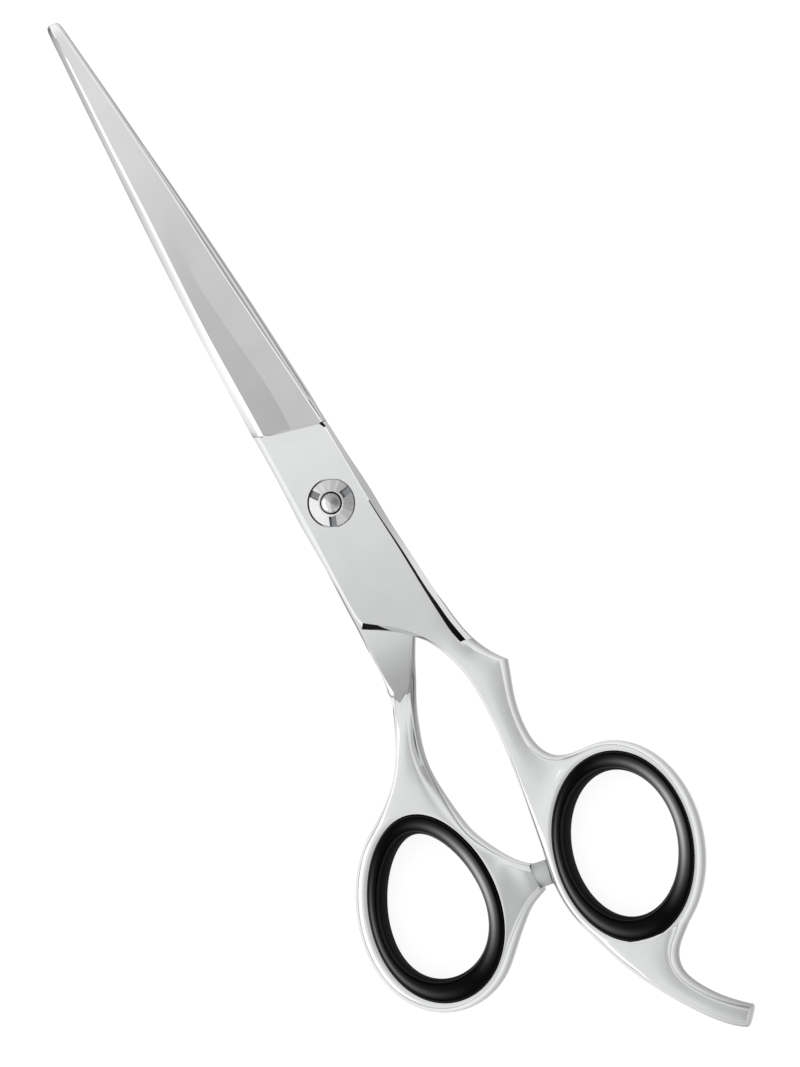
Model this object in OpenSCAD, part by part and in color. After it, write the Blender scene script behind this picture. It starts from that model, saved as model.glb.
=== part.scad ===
// Hair cutting shears with an offset handle, a finger tang and two soft ring inserts.
// The shears lie on their back. The origin is on the resting plane, under the pivot axis.
// +Y runs from the pivot to the blade tips, +X to the finger ring, +Z up to the dial.
// The finger half is the upper layer, the thumb half the lower one, and they meet at mate_z.

/* [Halves] */
// Height of the mating plane above the resting plane
mate_z = 3.4; // [3.2:0.1:4.5]
// Thickness of each half at the pivot
half_t = 2.7; // [2.4:0.1:3.0]
// Running gap between the two mating faces
mate_gap = 0.06; // [0.02:0.01:0.15]
// Distance from the pivot axis to the blade tips
blade_l = 82.5; // [60:0.5:110]
// Width across the closed blades at the heel
heel_w = 10.1; // [9:0.1:12]
// Width across the closed blades at the tips
tip_w = 2.1; // [1.5:0.1:3]
// Distance from the pivot axis to the heel, where the cutting edge starts
heel_y = 11.5; // [9:0.5:16]
// Distance the blades lie left of the pivot axis
blade_offset = 0.45; // [0:0.05:0.8]
// Width of the sloping flank along each spine
flank_w = 1.5; // [0.8:0.1:2]
// Height of the upright wall under that flank
spine_h = 0.9; // [0.5:0.1:1.5]
// Height of the step from the flat round the pivot down to the blade's ridge
heel_step = 0.2; // [0.1:0.05:0.5]
// Thickness of a blade's ridge at the tip
tip_t = 1.3; // [1:0.1:1.8]
// Thickness of a blade at its cutting edge
edge_t = 0.25; // [0.15:0.05:0.4]
// Distance from the pivot axis to the weld between forged blade and cast handle
weld_y = 16; // [13:0.5:17]

/* [Rings] */
// Finger ring centre, across from the pivot axis
finger_x = 11.7; // [9:0.1:14]
// Finger ring centre, back from the pivot axis
finger_y = 65.7; // [60:0.1:72]
// Thumb ring centre, across from the pivot axis
thumb_x = 17.7; // [16:0.1:21]
// Thumb ring centre, back from the pivot axis
thumb_y = 58.5; // [54:0.1:64]
// Width of the finger ring's seat for its soft insert
finger_seat_w = 20.4; // [18:0.1:23]
// Width of the thumb ring's seat for its soft insert
thumb_seat_w = 19.1; // [18:0.1:22]
// Length of both seats
seat_l = 27.3; // [25:0.1:30]
// Thickness of the handles at the rings
ring_h = 5.2; // [4:0.1:6]
// Metal outside the finger ring's seat, at its sides
finger_rim_w = 1.7; // [1.2:0.1:2.5]
// Metal outside the thumb ring's seat, at its sides
thumb_rim_w = 2.2; // [1.2:0.1:2.8]
// Metal outside both seats, at their ends
rim_end_w = 2.1; // [1.4:0.1:2.8]
// Band width of the soft inserts at their sides
insert_w = 1.8; // [1.4:0.1:2.6]
// Band width of the soft inserts at their ends
insert_end_w = 2.75; // [2:0.05:3.4]
// Overlap of an insert's lips on the faces of the metal
lip_w = 0.35; // [0.2:0.05:0.6]
// Gap between a soft insert and its seat
insert_gap = 0.03; // [0.01:0.01:0.1]

/* [Tang] */
// Length of the tang, from the finger ring centre to its end
tang_l = 32; // [28:0.5:40]
// Thickness at the end of the tang
tang_h = 3.2; // [2.4:0.1:4]

/* [Bump stop] */
// Diameter of the bump stop
stop_d = 3.7; // [3:0.1:4.2]
// Diameter of the stem that holds it in the boss
stop_stem_d = 2; // [1.5:0.1:2.4]
// Length of that stem
stop_stem_l = 3; // [2:0.1:3.5]
// Distance from the boss to the finger ring
stop_l = 2.05; // [1:0.05:2.5]
// Gap that is left at the finger ring when the blades are closed
stop_gap = 0.12; // [0.08:0.01:0.3]
// Metal of the boss round the stop, at its end
boss_rim_w = 0.6; // [0.5:0.05:0.9]
// How far the stop is turned from the line between the ring centres, towards the blades
stop_turn = 2.2; // [0:0.1:4]

/* [Pivot] */
// Diameter of the bolt's flat rear head
head_d = 8; // [7:0.1:9]
// Diameter of the keyed shoulder in the thumb blade
key_d = 5; // [4.4:0.1:5.6]
// Distance across the flats of the keyed shoulder
key_flats = 4.2; // [3.8:0.1:4.3]
// Diameter of the bolt where it turns in the bush
shaft_d = 3.6; // [3.2:0.1:3.8]
// Diameter of the bolt where the dial screws on
thread_d = 3; // [2.6:0.1:3.1]
// Outer diameter of the bush
bush_d = 5; // [4.6:0.1:5.6]
// Diameter of the tension dial
dial_d = 7; // [6.6:0.1:8]
// Thickness of the tension dial at its rim
dial_t = 0.75; // [0.6:0.05:1]
// Height of the dial's low cone above its rim
cone_t = 0.3; // [0.2:0.05:0.4]
// Depth of the recess that holds the dial
recess_t = 1.5; // [1.3:0.1:1.7]
// Gap round the dial in its recess
recess_gap = 0.15; // [0.08:0.01:0.3]
// Thickness of the nylon thrust washer
washer_t = 0.35; // [0.2:0.05:0.4]
// Thickness of the spring washer's strip
spring_t = 0.2; // [0.15:0.05:0.25]
// Width of the three key slots in the dial
slot_w = 1.1; // [0.8:0.1:1.3]
// Metal between the slots' inner ends and the bolt
slot_land = 0.9; // [0.6:0.1:1.2]
// Gap round each part that is pressed or keyed in its bore
press_gap = 0.02; // [0.01:0.01:0.05]
// Radial gap of each part that turns on or in another
run_gap = 0.03; // [0.02:0.01:0.06]
// Gap between flat faces that turn on each other
face_gap = 0.03; // [0.02:0.01:0.06]

/* [Hidden] */
$fn = 128;

steel = "#d9dcdd";
cast_steel = "#cfd3d1";
rubber = "#17181a";
silicone = "#c9cccb";
nylon = "#f1f0ea";
chrome = "#e3e4e5";

top_z = mate_z + half_t;          // front face of the finger half
back_z = mate_z - half_t;         // rear face of the thumb half
floor_z = top_z - recess_t;       // floor of the dial's recess
washer_z = floor_z + face_gap;
spring_z = washer_z + washer_t + face_gap;
dial_z = spring_z + spring_t + face_gap;
dome_z = top_z + 0.15;            // foot of the dome at the end of the bolt
loft_steps = 16;                  // points round a loft's cross-section
ring_steps = 60;                  // cross-sections round a ring

finger_c = [finger_x, -finger_y];
thumb_c = [-thumb_x, -thumb_y];

// ---------------------------------------------------------------- shared geometry

function mix(a, b, f) = a + (b - a) * f;
function unit(v) = v / norm(v);
function turned(p, a) = [p.x * cos(a) - p.y * sin(a), p.x * sin(a) + p.y * cos(a)];

// An egg of width w and length l: egg > 0 widens its upper end, lean turns it clockwise.
function egg_at(c, w, l, egg, lean, t) =
    c + turned([w / 2 * cos(t) * (1 + egg * sin(t)), l / 2 * sin(t)], -lean);

// The outward normal of that egg.
function egg_normal(w, l, egg, lean, t) =
    let (d = egg_at([0, 0], w, l, egg, lean, t + 1) - egg_at([0, 0], w, l, egg, lean, t - 1))
    unit([d.y, -d.x]);

// A ring is [centre, seat width, side rim width, egg factor, lean, metal shift, hole's egg factor].
finger_ring = [finger_c, finger_seat_w, finger_rim_w, 0.01, 17, [-0.45, 0.3], 0.01];
thumb_ring = [thumb_c, thumb_seat_w, thumb_rim_w, -0.1, 13, [-0.6, 0.5], -0.18];
hole_shift = [-0.3, 0.65];        // the inserts' holes lie nearer the blades than their seats

// Points on the seat, on the outside of the metal and on the edge of the insert's hole.
function seat_point(ring, t, out = 0) =
    egg_at(ring[0], ring[1], seat_l, ring[3], ring[4], t)
    + egg_normal(ring[1], seat_l, ring[3], ring[4], t) * out;
function rim_size(ring) = [ring[1] + 2 * ring[2], seat_l + 2 * rim_end_w];
function rim_point(ring, t) =
    egg_at(ring[0] + ring[5], rim_size(ring).x, rim_size(ring).y, ring[3], ring[4], t);
function rim_normal(ring, t) =
    egg_normal(rim_size(ring).x, rim_size(ring).y, ring[3], ring[4], t);
function hole_point(ring, t) =
    egg_at(ring[0] + hole_shift, ring[1] - 2 * insert_w, seat_l - 2 * insert_end_w,
           ring[6], ring[4], t);

// Skins closed cross-sections of n points each. A loop joins the last one to the first.
module skin(sections, loop = false) {
    n = len(sections[0]);
    m = len(sections);
    last = loop ? m : m - 1;
    sides = [for (i = [0 : last - 1]) for (j = [0 : n - 1])
        [i * n + j, i * n + (j + 1) % n, (i + 1) % m * n + (j + 1) % n, (i + 1) % m * n + j]];
    ends = loop ? [] : [[for (j = [n - 1 : -1 : 0]) j], [for (j = [0 : n - 1]) (m - 1) * n + j]];
    polyhedron([for (s = sections) for (p = s) p], concat(sides, ends), convexity = 8);
}

// An upright cross-section between two plan points, from height lo to hi, with rounded corners:
// round is 2 for an ellipse and more for a squarer section.
function cross_section(a, b, lo, hi, round) =
    [for (i = [loft_steps - 1 : -1 : 0])
        let (t = (i + 0.5) * 360 / loft_steps,
             q = mix(a, b, 0.5 + 0.5 * sign(cos(t)) * pow(abs(cos(t)), 2 / round)))
        [q.x, q.y, (lo + hi) / 2 + (hi - lo) / 2 * sign(sin(t)) * pow(abs(sin(t)), 2 / round)]];

// Height of a handle's surface on the side of the half it belongs to: 0 is the mating face,
// 1 the half's outer face, and less than 0 lies past the mating plane. up is 1 or -1.
function layer_z(f, up) = mate_z + up * (f == 0 ? mate_gap / 2 : f * half_t);

// Lofts a handle through stations [left point, right point, inner face, outer face, round].
module loft(stations, up) {
    skin([for (s = stations)
        cross_section(s[0], s[1], min(layer_z(s[2], up), layer_z(s[3], up)),
                      max(layer_z(s[2], up), layer_z(s[3], up)), s[4])]);
}

// The handles' tables are drawn for these sizes. They follow the real weld at one end and the
// real ring at the other.
drawn_heel_w = 10.1;
drawn_weld_y = 16;
drawn_offset = 0.45;
drawn_seat_l = 27.3;
drawn_tang_l = 31.9;
heel_scale = heel_w / drawn_heel_w;
ring_scale = seat_l / drawn_seat_l;
follow_from = 22;                 // a shank starts to follow its ring this far from the pivot
follow_end = 10;                  // and follows it fully this far before the ring's centre

function at_weld(p) = [(p.x + drawn_offset) * heel_scale - blade_offset,
                       p.y * weld_y / drawn_weld_y];
function at_ring(p, drawn_c, c) = c + (p - drawn_c) * ring_scale;
function follow_share(p, drawn_c) =
    min(1, max(0, (p.y + follow_from) / (drawn_c.y + follow_end + follow_from)));
function follow(stations, drawn_c, c) =
    [for (s = stations)
        let (f = follow_share(s[0], drawn_c))
        [mix(at_weld(s[0]), at_ring(s[0], drawn_c, c), f),
         mix(at_weld(s[1]), at_ring(s[1], drawn_c, c), f), s[2], s[3], s[4]]];

// ---------------------------------------------------------------- blades

// How far along the blade y lies, half the width of the closed blades there, and face height.
function blade_f(y) = max(0, (y - heel_y) / (blade_l - heel_y));
function spine_x(y) = mix(heel_w, tip_w, pow(blade_f(y), 1.3)) / 2;
function ridge_h(y) = mix(half_t - heel_step, tip_t, blade_f(y));

// Cross-section of a blade at y: cutting edge on the +X side, spine and flank on the -X side.
function blade_section(y, slant = 0) =
    let (w = spine_x(y), flank = min(flank_w, w * 0.45), h = ridge_h(y),
         wall = min(spine_h, h * 0.5), lip = mix(0.5, 0.25, blade_f(y)))
    [for (p = [[w, mate_gap / 2], [w, edge_t], [w - lip, h * 0.6], [flank - w, h], [-w, wall],
               [-w, mate_gap / 2]])
        [p.x, y - slant * p.x, p.y]];

// Cross-section of the flat round the pivot: widths beyond the heel's on the spine side and on
// the edge side, for a heel of the drawn width, then the flank's width and the front edge's inset.
function flat_section(y, left, right, flank, inset, slant = 0) =
    let (l = heel_w / 2 + left * heel_scale, r = heel_w / 2 + right * heel_scale)
    [for (p = [[r, mate_gap / 2], [r - inset * 0.9, half_t * 0.45], [r - inset, half_t],
               [flank - l, half_t], [-l, spine_h + 0.4], [-l, mate_gap / 2]])
        [p.x, y - slant * p.x, p.y]];

// One forged blade with the flat round its pivot, mating face down, spine towards -X.
module blade_blank() {
    flat = [flat_section(-weld_y, 0.65, 1.5, 0.8, 0.7),
            flat_section(-weld_y * 0.62, 0.65, 1.15, flank_w - 0.5, 0.5),
            flat_section(-weld_y * 0.3, 0.63, 0.85, flank_w - 0.3, 0.4),
            flat_section(0, 0.6, 0.65, flank_w - 0.2, 0.3),
            flat_section(heel_y * 0.45, 0.3, 0.45, flank_w - 0.3, 0.2),
            flat_section(heel_y, 0, 0.05, flank_w - 0.2, 0.1, 0.33)];
    blade = [blade_section(heel_y + 0.45, 0.33), blade_section(heel_y + 4, 0.12)];
    rows = [for (f = [0.12 : 0.11 : 0.9]) blade_section(mix(heel_y, blade_l, f))];
    nose = [blade_section(blade_l - 1), blade_section(blade_l - 0.3)];
    tip = [for (p = blade_section(blade_l)) [p.x * 0.4, p.y, min(p.z, 0.9)]];
    skin(concat(flat, blade, rows, nose, [tip]));
}

// Puts a part drawn for a half, mating face down at z = 0, in its layer.
module in_layer(up) {
    translate([-blade_offset, 0, mate_z]) rotate([0, up > 0 ? 0 : 180, 0]) children();
}

module finger_blade() {
    color(steel) difference() {
        in_layer(1) blade_blank();
        translate([0, 0, mate_z - 1]) cylinder(d = bush_d + 2 * press_gap, h = half_t + 2);
        translate([0, 0, floor_z]) cylinder(d = dial_d + 2 * recess_gap, h = recess_t + 1);
    }
}

module thumb_blade() {
    color(steel) difference() {
        in_layer(-1) blade_blank();
        intersection() {
            translate([0, 0, back_z - 1]) cylinder(d = key_d + 2 * press_gap, h = half_t + 2);
            cube([key_flats + 2 * press_gap, 2 * key_d, 4 * mate_z], center = true);
        }
    }
}

// ---------------------------------------------------------------- handles

// Metal round a ring's seat, as [share of the way from seat to rim, height in half thicknesses].
seat_share = 0.84;
rim_profile = [[0, seat_share], [0.22, 1], [0.62, 0.93], [0.9, 0.62], [1, 0.2],
               [1, -0.2], [0.9, -0.62], [0.62, -0.93], [0.22, -1], [0, -seat_share]];
cut_margin = 0.45;               // how far outside a seat the lofts that meet its ring are cut

module ring_metal(ring) {
    skin([for (i = [0 : ring_steps - 1])
        let (t = -i * 360 / ring_steps, a = seat_point(ring, t), b = rim_point(ring, t))
        [for (p = rim_profile)
            [mix(a.x, b.x, p.x), mix(a.y, b.y, p.x), mate_z + p.y * ring_h / 2]]], loop = true);
}

// A ring's metal with the lofts that run into it, which are cut clear of its seat.
module ring_and_lofts(ring) {
    ring_metal(ring);
    difference() {
        union() children();
        translate([0, 0, mate_z - ring_h]) linear_extrude(2 * ring_h)
            polygon([for (i = [0 : ring_steps - 1])
                seat_point(ring, i * 360 / ring_steps, cut_margin)]);
    }
}

full = ring_h / 2 / half_t;      // full thickness of a handle, in half thicknesses of a blade

// Finger shank from the weld to the ring, with the spur where a finger rests.
finger_drawn = [11.7, -65.7];
finger_shank = [
    [[-6.15, -16], [6.1, -16], 0, 1, 12],
    [[-6.1, -17.7], [6.2, -18.2], 0, 1, 10], [[-2.3, -20.5], [6.4, -20.5], 0, 1, 8],
    [[0.3, -23], [6.8, -23.4], 0, full, 6], [[1.7, -24.9], [7.15, -25.5], 0, full, 5],
    [[2.8, -27.6], [7.65, -27.9], -0.5, full, 4], [[3.5, -30.3], [8.6, -30.3], -0.85, full, 3.4],
    [[3.85, -32.8], [10.1, -32.8], -full, full, 3], [[3.9, -35.3], [9.2, -35.3], -full, full, 3],
    [[3.75, -38], [8.15, -38], -full, full, 3], [[3.5, -41.2], [7.4, -41.2], -full, full, 3],
    [[3.15, -44], [7.2, -44], -full, full, 3], [[2.85, -46.2], [7.5, -46.3], -full, full, 3],
    [[2.5, -48.3], [8.5, -48], -full, full, 3], [[2.05, -50.3], [10.2, -49.2], -full, full, 3],
    [[1.45, -53], [12.5, -50.4], -full, full, 3.4], [[0.8, -56.6], [12.5, -53], -full, full, 3.4],
    [[0.35, -61], [10, -58], -full, full, 3.4]];

// Tang from the finger ring to its end, relative to the ring centre.
tang_rows = [
    [[-11.4, -5.8], [3.8, -11.3], full], [[-11.1, -9.3], [2.3, -13.2], full],
    [[-10.2, -13], [0.5, -14.5], full], [[-8.75, -16.6], [-1.4, -16.2], 0.92],
    [[-7.1, -20.2], [-2.35, -18.3], 0.87], [[-5.4, -23.2], [-2.2, -20.6], 0.82],
    [[-3.8, -25.8], [-1, -23.1], 0.77], [[-2, -28.4], [0.7, -25.7], 0.72],
    [[-0.2, -30.5], [2.5, -27.7], 0.67], [[1.7, -drawn_tang_l], [4.2, -29.3], tang_h / 2 / half_t]];

module finger_handle() {
    tang = [for (i = [0 : len(tang_rows) - 1])
        let (s = tang_rows[i], k = mix(ring_scale, tang_l / drawn_tang_l, min(1, i / 4)))
        [finger_c + s[0] * k, finger_c + s[1] * k, -s[2], s[2], 3]];
    color(cast_steel) ring_and_lofts(finger_ring) {
        loft(follow(finger_shank, finger_drawn, finger_c), 1);
        loft(tang, 1);
    }
}

// Thumb shank from the weld to the ring. Its flat upper face ends where the shank thickens.
thumb_drawn = [-17.7, -58.5];
thumb_shank = [
    [[-7, -16], [5.25, -16], 0, 1, 12],
    [[-7.05, -17.8], [5.2, -17.7], 0, 1, 10], [[-7.2, -20.6], [1.3, -20.4], 0, 1, 8],
    [[-7.45, -23.6], [-0.5, -23.2], 0, full, 6], [[-7.6, -26], [-2.1, -25.8], 0, full, 5],
    [[-7.95, -28], [-3.4, -28], -0.1, full, 4], [[-8.7, -30.4], [-4.7, -30.3], -0.4, full, 3.4],
    [[-9.6, -32.7], [-5.9, -32.5], -0.75, full, 3], [[-10.9, -35.1], [-6.9, -35], -full, full, 3],
    [[-12.6, -37.7], [-7.7, -37.8], -full, full, 3], [[-15.2, -40], [-8.1, -40.6], -full, full, 3],
    [[-18.4, -42.3], [-8.2, -43.6], -full, full, 3.4], [[-20.6, -44.1], [-7.95, -46.6], -full, full, 3.4],
    [[-20, -48.5], [-7.6, -49.4], -full, full, 3.4], [[-14, -53], [-7.6, -52.4], -full, full, 3.4]];

// Boss that carries the bump stop, as rows of [point nearer the blades, point further from them]
// relative to the thumb ring centre. Its end face is square to the line that the stop lies on.
boss_rows = [[[9.2, 8.5], [6.2, -10.5]], [[10.7, 6], [8.2, -9.4]], [[11.9, 3.2], [10.1, -8.1]],
             [[13.2, 1.2], [12.1, -7.2]], [[14.2, -0.1], [13.6, -6.65]]];
boss_end_w = stop_d + 2 * boss_rim_w;
stop_line = finger_c - thumb_c;
stop_t = 180 + atan2(stop_line.y, stop_line.x) + finger_ring[4] - stop_turn;
stop_at = rim_point(finger_ring, stop_t);
stop_out = rim_normal(finger_ring, stop_t);
boss_end = stop_at + stop_out * stop_l;
boss_side = [stop_out.y, -stop_out.x] * boss_end_w / 2;

module stop_axis() {
    translate([stop_at.x, stop_at.y, mate_z])
        rotate([0, 90, atan2(stop_out.y, stop_out.x)]) children();
}

module thumb_handle() {
    rows = concat([for (s = boss_rows) [for (p = s) thumb_c + p * ring_scale]],
                  [[boss_end + boss_side, boss_end - boss_side]]);
    boss = [for (i = [0 : len(rows) - 1])
        [rows[i][1], rows[i][0], -full * (1 - 0.05 * i), full * (1 - 0.05 * i), 5]];
    color(cast_steel) difference() {
        ring_and_lofts(thumb_ring) {
            loft(follow(thumb_shank, thumb_drawn, thumb_c), -1);
            loft(boss, 1);
        }
        stop_axis() cylinder(d = stop_stem_d + 2 * press_gap, h = stop_l + stop_stem_l + 0.1);
    }
}

module bump_stop() {
    color(silicone) stop_axis() translate([0, 0, stop_gap]) {
        cylinder(d = stop_d, h = stop_l - stop_gap);
        cylinder(d = stop_stem_d, h = stop_l + stop_stem_l - stop_gap);
    }
}

// ---------------------------------------------------------------- soft ring inserts

// Upper half of an insert's band, as [distance outside the seat, share of the way from there to
// the hole, height above the middle]. The lips lie over the edges of the metal.
function insert_half() = let (h = mate_z, seat_h = seat_share * ring_h / 2)
    [[-insert_gap, 0, seat_h + 0.12], [lip_w, 0, h * 0.8], [lip_w * 0.8, 0, h * 0.89],
     [0, 0, h * 0.965], [0, 0.25, h], [0, 0.55, h * 0.99], [0, 0.8, h * 0.91],
     [0, 0.95, h * 0.73], [0, 1, h * 0.45]];
insert_band = concat([for (p = insert_half()) p],
                     [for (i = [8 : -1 : 0]) let (p = insert_half()[i]) [p.x, p.y, -p.z]]);

module ring_insert(ring) {
    color(rubber) skin([for (i = [0 : ring_steps - 1])
        let (t = i * 360 / ring_steps, inner = hole_point(ring, t))
        [for (p = insert_band)
            let (q = mix(seat_point(ring, t, p.x), inner, p.y)) [q.x, q.y, mate_z + p.z]]],
        loop = true);
}

module finger_ring_insert() { ring_insert(finger_ring); }
module thumb_ring_insert() { ring_insert(thumb_ring); }

// ---------------------------------------------------------------- pivot

module tube(d_out, d_in, z, h) {
    translate([0, 0, z]) difference() {
        cylinder(d = d_out, h = h);
        translate([0, 0, -1]) cylinder(d = d_in, h = h + 2);
    }
}

// Bolt put in from the rear: flat head, shoulder keyed in the thumb blade, shaft, domed end.
module pivot_bolt() {
    color(steel) {
        cylinder(d = head_d, h = back_z);
        translate([0, 0, back_z]) intersection() {
            cylinder(d = key_d, h = half_t - mate_gap / 2);
            translate([-key_flats / 2, -key_d, 0]) cube([key_flats, 2 * key_d, half_t]);
        }
        cylinder(d = shaft_d, h = washer_z);
        cylinder(d = thread_d, h = dome_z);
        translate([0, 0, dome_z]) intersection() {
            cylinder(d = thread_d, h = thread_d);
            translate([0, 0, -thread_d * 0.7]) sphere(r = thread_d * 0.86);
        }
    }
}

// Dial that sets the tension, with three slots for a key.
module tension_dial() {
    color(chrome) difference() {
        union() {
            translate([0, 0, dial_z]) cylinder(d = dial_d, h = dial_t);
            translate([0, 0, dial_z + dial_t])
                cylinder(d1 = dial_d - cone_t, d2 = dial_d * 0.6, h = cone_t);
        }
        translate([0, 0, dial_z - 1]) cylinder(d = thread_d + 2 * run_gap, h = dial_t + 3);
        for (a = [5, 125, 245])
            rotate(a) translate([thread_d / 2 + slot_land, -slot_w / 2, dial_z + dial_t * 0.4])
                cube([dial_d, slot_w, dial_t + cone_t]);
    }
}

// Thin spring disc under the dial.
module spring_washer() {
    color(steel) tube(dial_d - 0.4, shaft_d + 0.6, spring_z, spring_t);
}

module thrust_washer() {
    color(nylon) tube(dial_d - 0.1, shaft_d + 0.2, washer_z, washer_t);
}

module pivot_bush() {
    color(nylon) tube(bush_d, shaft_d + 2 * run_gap, mate_z + mate_gap / 2,
                          floor_z - mate_z - mate_gap / 2);
}

// ---------------------------------------------------------------- assembly

finger_blade();
finger_handle();
thumb_blade();
thumb_handle();
finger_ring_insert();
thumb_ring_insert();
bump_stop();
pivot_bolt();
tension_dial();
spring_washer();
thrust_washer();
pivot_bush();
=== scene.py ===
"""Hair cutting shears: the visual model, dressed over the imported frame.

Every size in the classes is in millimetres, in the frame of the CAD model: the origin lies on the
resting plane under the pivot axis, +Y runs to the blade tips, +X to the finger ring, +Z up.
"""
import logging
import math
from dataclasses import dataclass, field, replace
from enum import Enum

import bmesh
import bpy
from mathutils import Matrix, Vector


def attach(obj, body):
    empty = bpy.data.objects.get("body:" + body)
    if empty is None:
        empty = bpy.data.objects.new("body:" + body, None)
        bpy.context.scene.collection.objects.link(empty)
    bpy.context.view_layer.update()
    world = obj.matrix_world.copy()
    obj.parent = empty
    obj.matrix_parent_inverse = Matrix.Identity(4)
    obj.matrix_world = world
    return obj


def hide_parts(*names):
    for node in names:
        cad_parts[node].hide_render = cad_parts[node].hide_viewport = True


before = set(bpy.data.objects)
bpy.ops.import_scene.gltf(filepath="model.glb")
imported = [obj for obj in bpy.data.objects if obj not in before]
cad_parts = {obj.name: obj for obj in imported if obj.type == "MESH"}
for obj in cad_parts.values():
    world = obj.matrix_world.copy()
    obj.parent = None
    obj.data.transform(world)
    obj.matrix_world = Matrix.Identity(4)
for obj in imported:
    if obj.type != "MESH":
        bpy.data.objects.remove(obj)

log = logging.getLogger("shears")

MM = 0.001                   # metres in a millimetre
MATE = 3.4                   # height of the mating plane
GAP = 0.03                   # half the running gap between the halves
THICK = 2.7                  # thickness of a half at the pivot
FULL = 2.6                   # half the thickness of the handles at the rings
OFFSET = 0.45                # how far left of the pivot axis the blades lie
PAINTED_HIGHLIGHT = "crown_painted_highlight"          # the inserts' vertex layer of painted highlight, 1 where it is brightest

Point = tuple[float, float]


class Body(str, Enum):
    """The moving bodies of the shears."""

    FINGER = "finger_half"
    THUMB = "thumb_half"
    DIAL = "dial"


# ------------------------------------------------------------------ colours and node helpers

def linear(code: str) -> tuple[float, float, float, float]:
    """Turns an sRGB hex colour into linear RGBA.

    Args:
        code: the colour, such as "#d9dcdd".

    Returns:
        Linear red, green, blue and an alpha of 1.
    """
    parts = [int(code[i:i + 2], 16) / 255 for i in (1, 3, 5)]
    red, green, blue = [c / 12.92 if c <= 0.04045 else ((c + 0.055) / 1.055) ** 2.4 for c in parts]
    return red, green, blue, 1.0


def add_node(tree: bpy.types.NodeTree, kind: str, settings: dict | None = None,
             values: dict | None = None, links: dict | None = None) -> bpy.types.Node:
    """Adds a node with its settings, socket values and incoming links.

    Args:
        tree: the node tree that takes the node.
        kind: the node's type name.
        settings: properties of the node itself.
        values: default values of its input sockets, by name or index.
        links: output sockets that feed its inputs, by name or index.

    Returns:
        The new node.
    """
    node = tree.nodes.new(kind)
    for name, value in (settings or {}).items():
        setattr(node, name, value)
    for name, value in (values or {}).items():
        node.inputs[name].default_value = value
    for name, source in (links or {}).items():
        tree.links.new(source, node.inputs[name])
    return node


def new_tree(material: bpy.types.Material) -> tuple[bpy.types.NodeTree, bpy.types.Node]:
    """Empties a material's nodes and adds its output.

    Args:
        material: the material.

    Returns:
        The node tree and the output node.
    """
    material.use_nodes = True
    tree = material.node_tree
    tree.nodes.clear()
    return tree, tree.nodes.new("ShaderNodeOutputMaterial")


def ramp(node: bpy.types.Node, stops: list[tuple[float, tuple]]) -> None:
    """Sets the stops of a colour ramp node.

    Args:
        node: the colour ramp.
        stops: positions and linear RGBA colours, in order.
    """
    elements = node.color_ramp.elements
    while len(elements) < len(stops):
        elements.new(1.0)
    for element, (position, colour) in zip(elements, stops):
        element.position = position
        element.color = colour


# ------------------------------------------------------------------ finishes

@dataclass(frozen=True)
class PaintedShade:
    """Painted shade: a darker tone set out by places along an axis, standing in for shade and darker
    reflections.
    """

    axis: int                    # 0, 1 or 2 for X, Y or Z
    stops: tuple[Point, ...]     # place in millimetres and the share of the brightness left there


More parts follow.
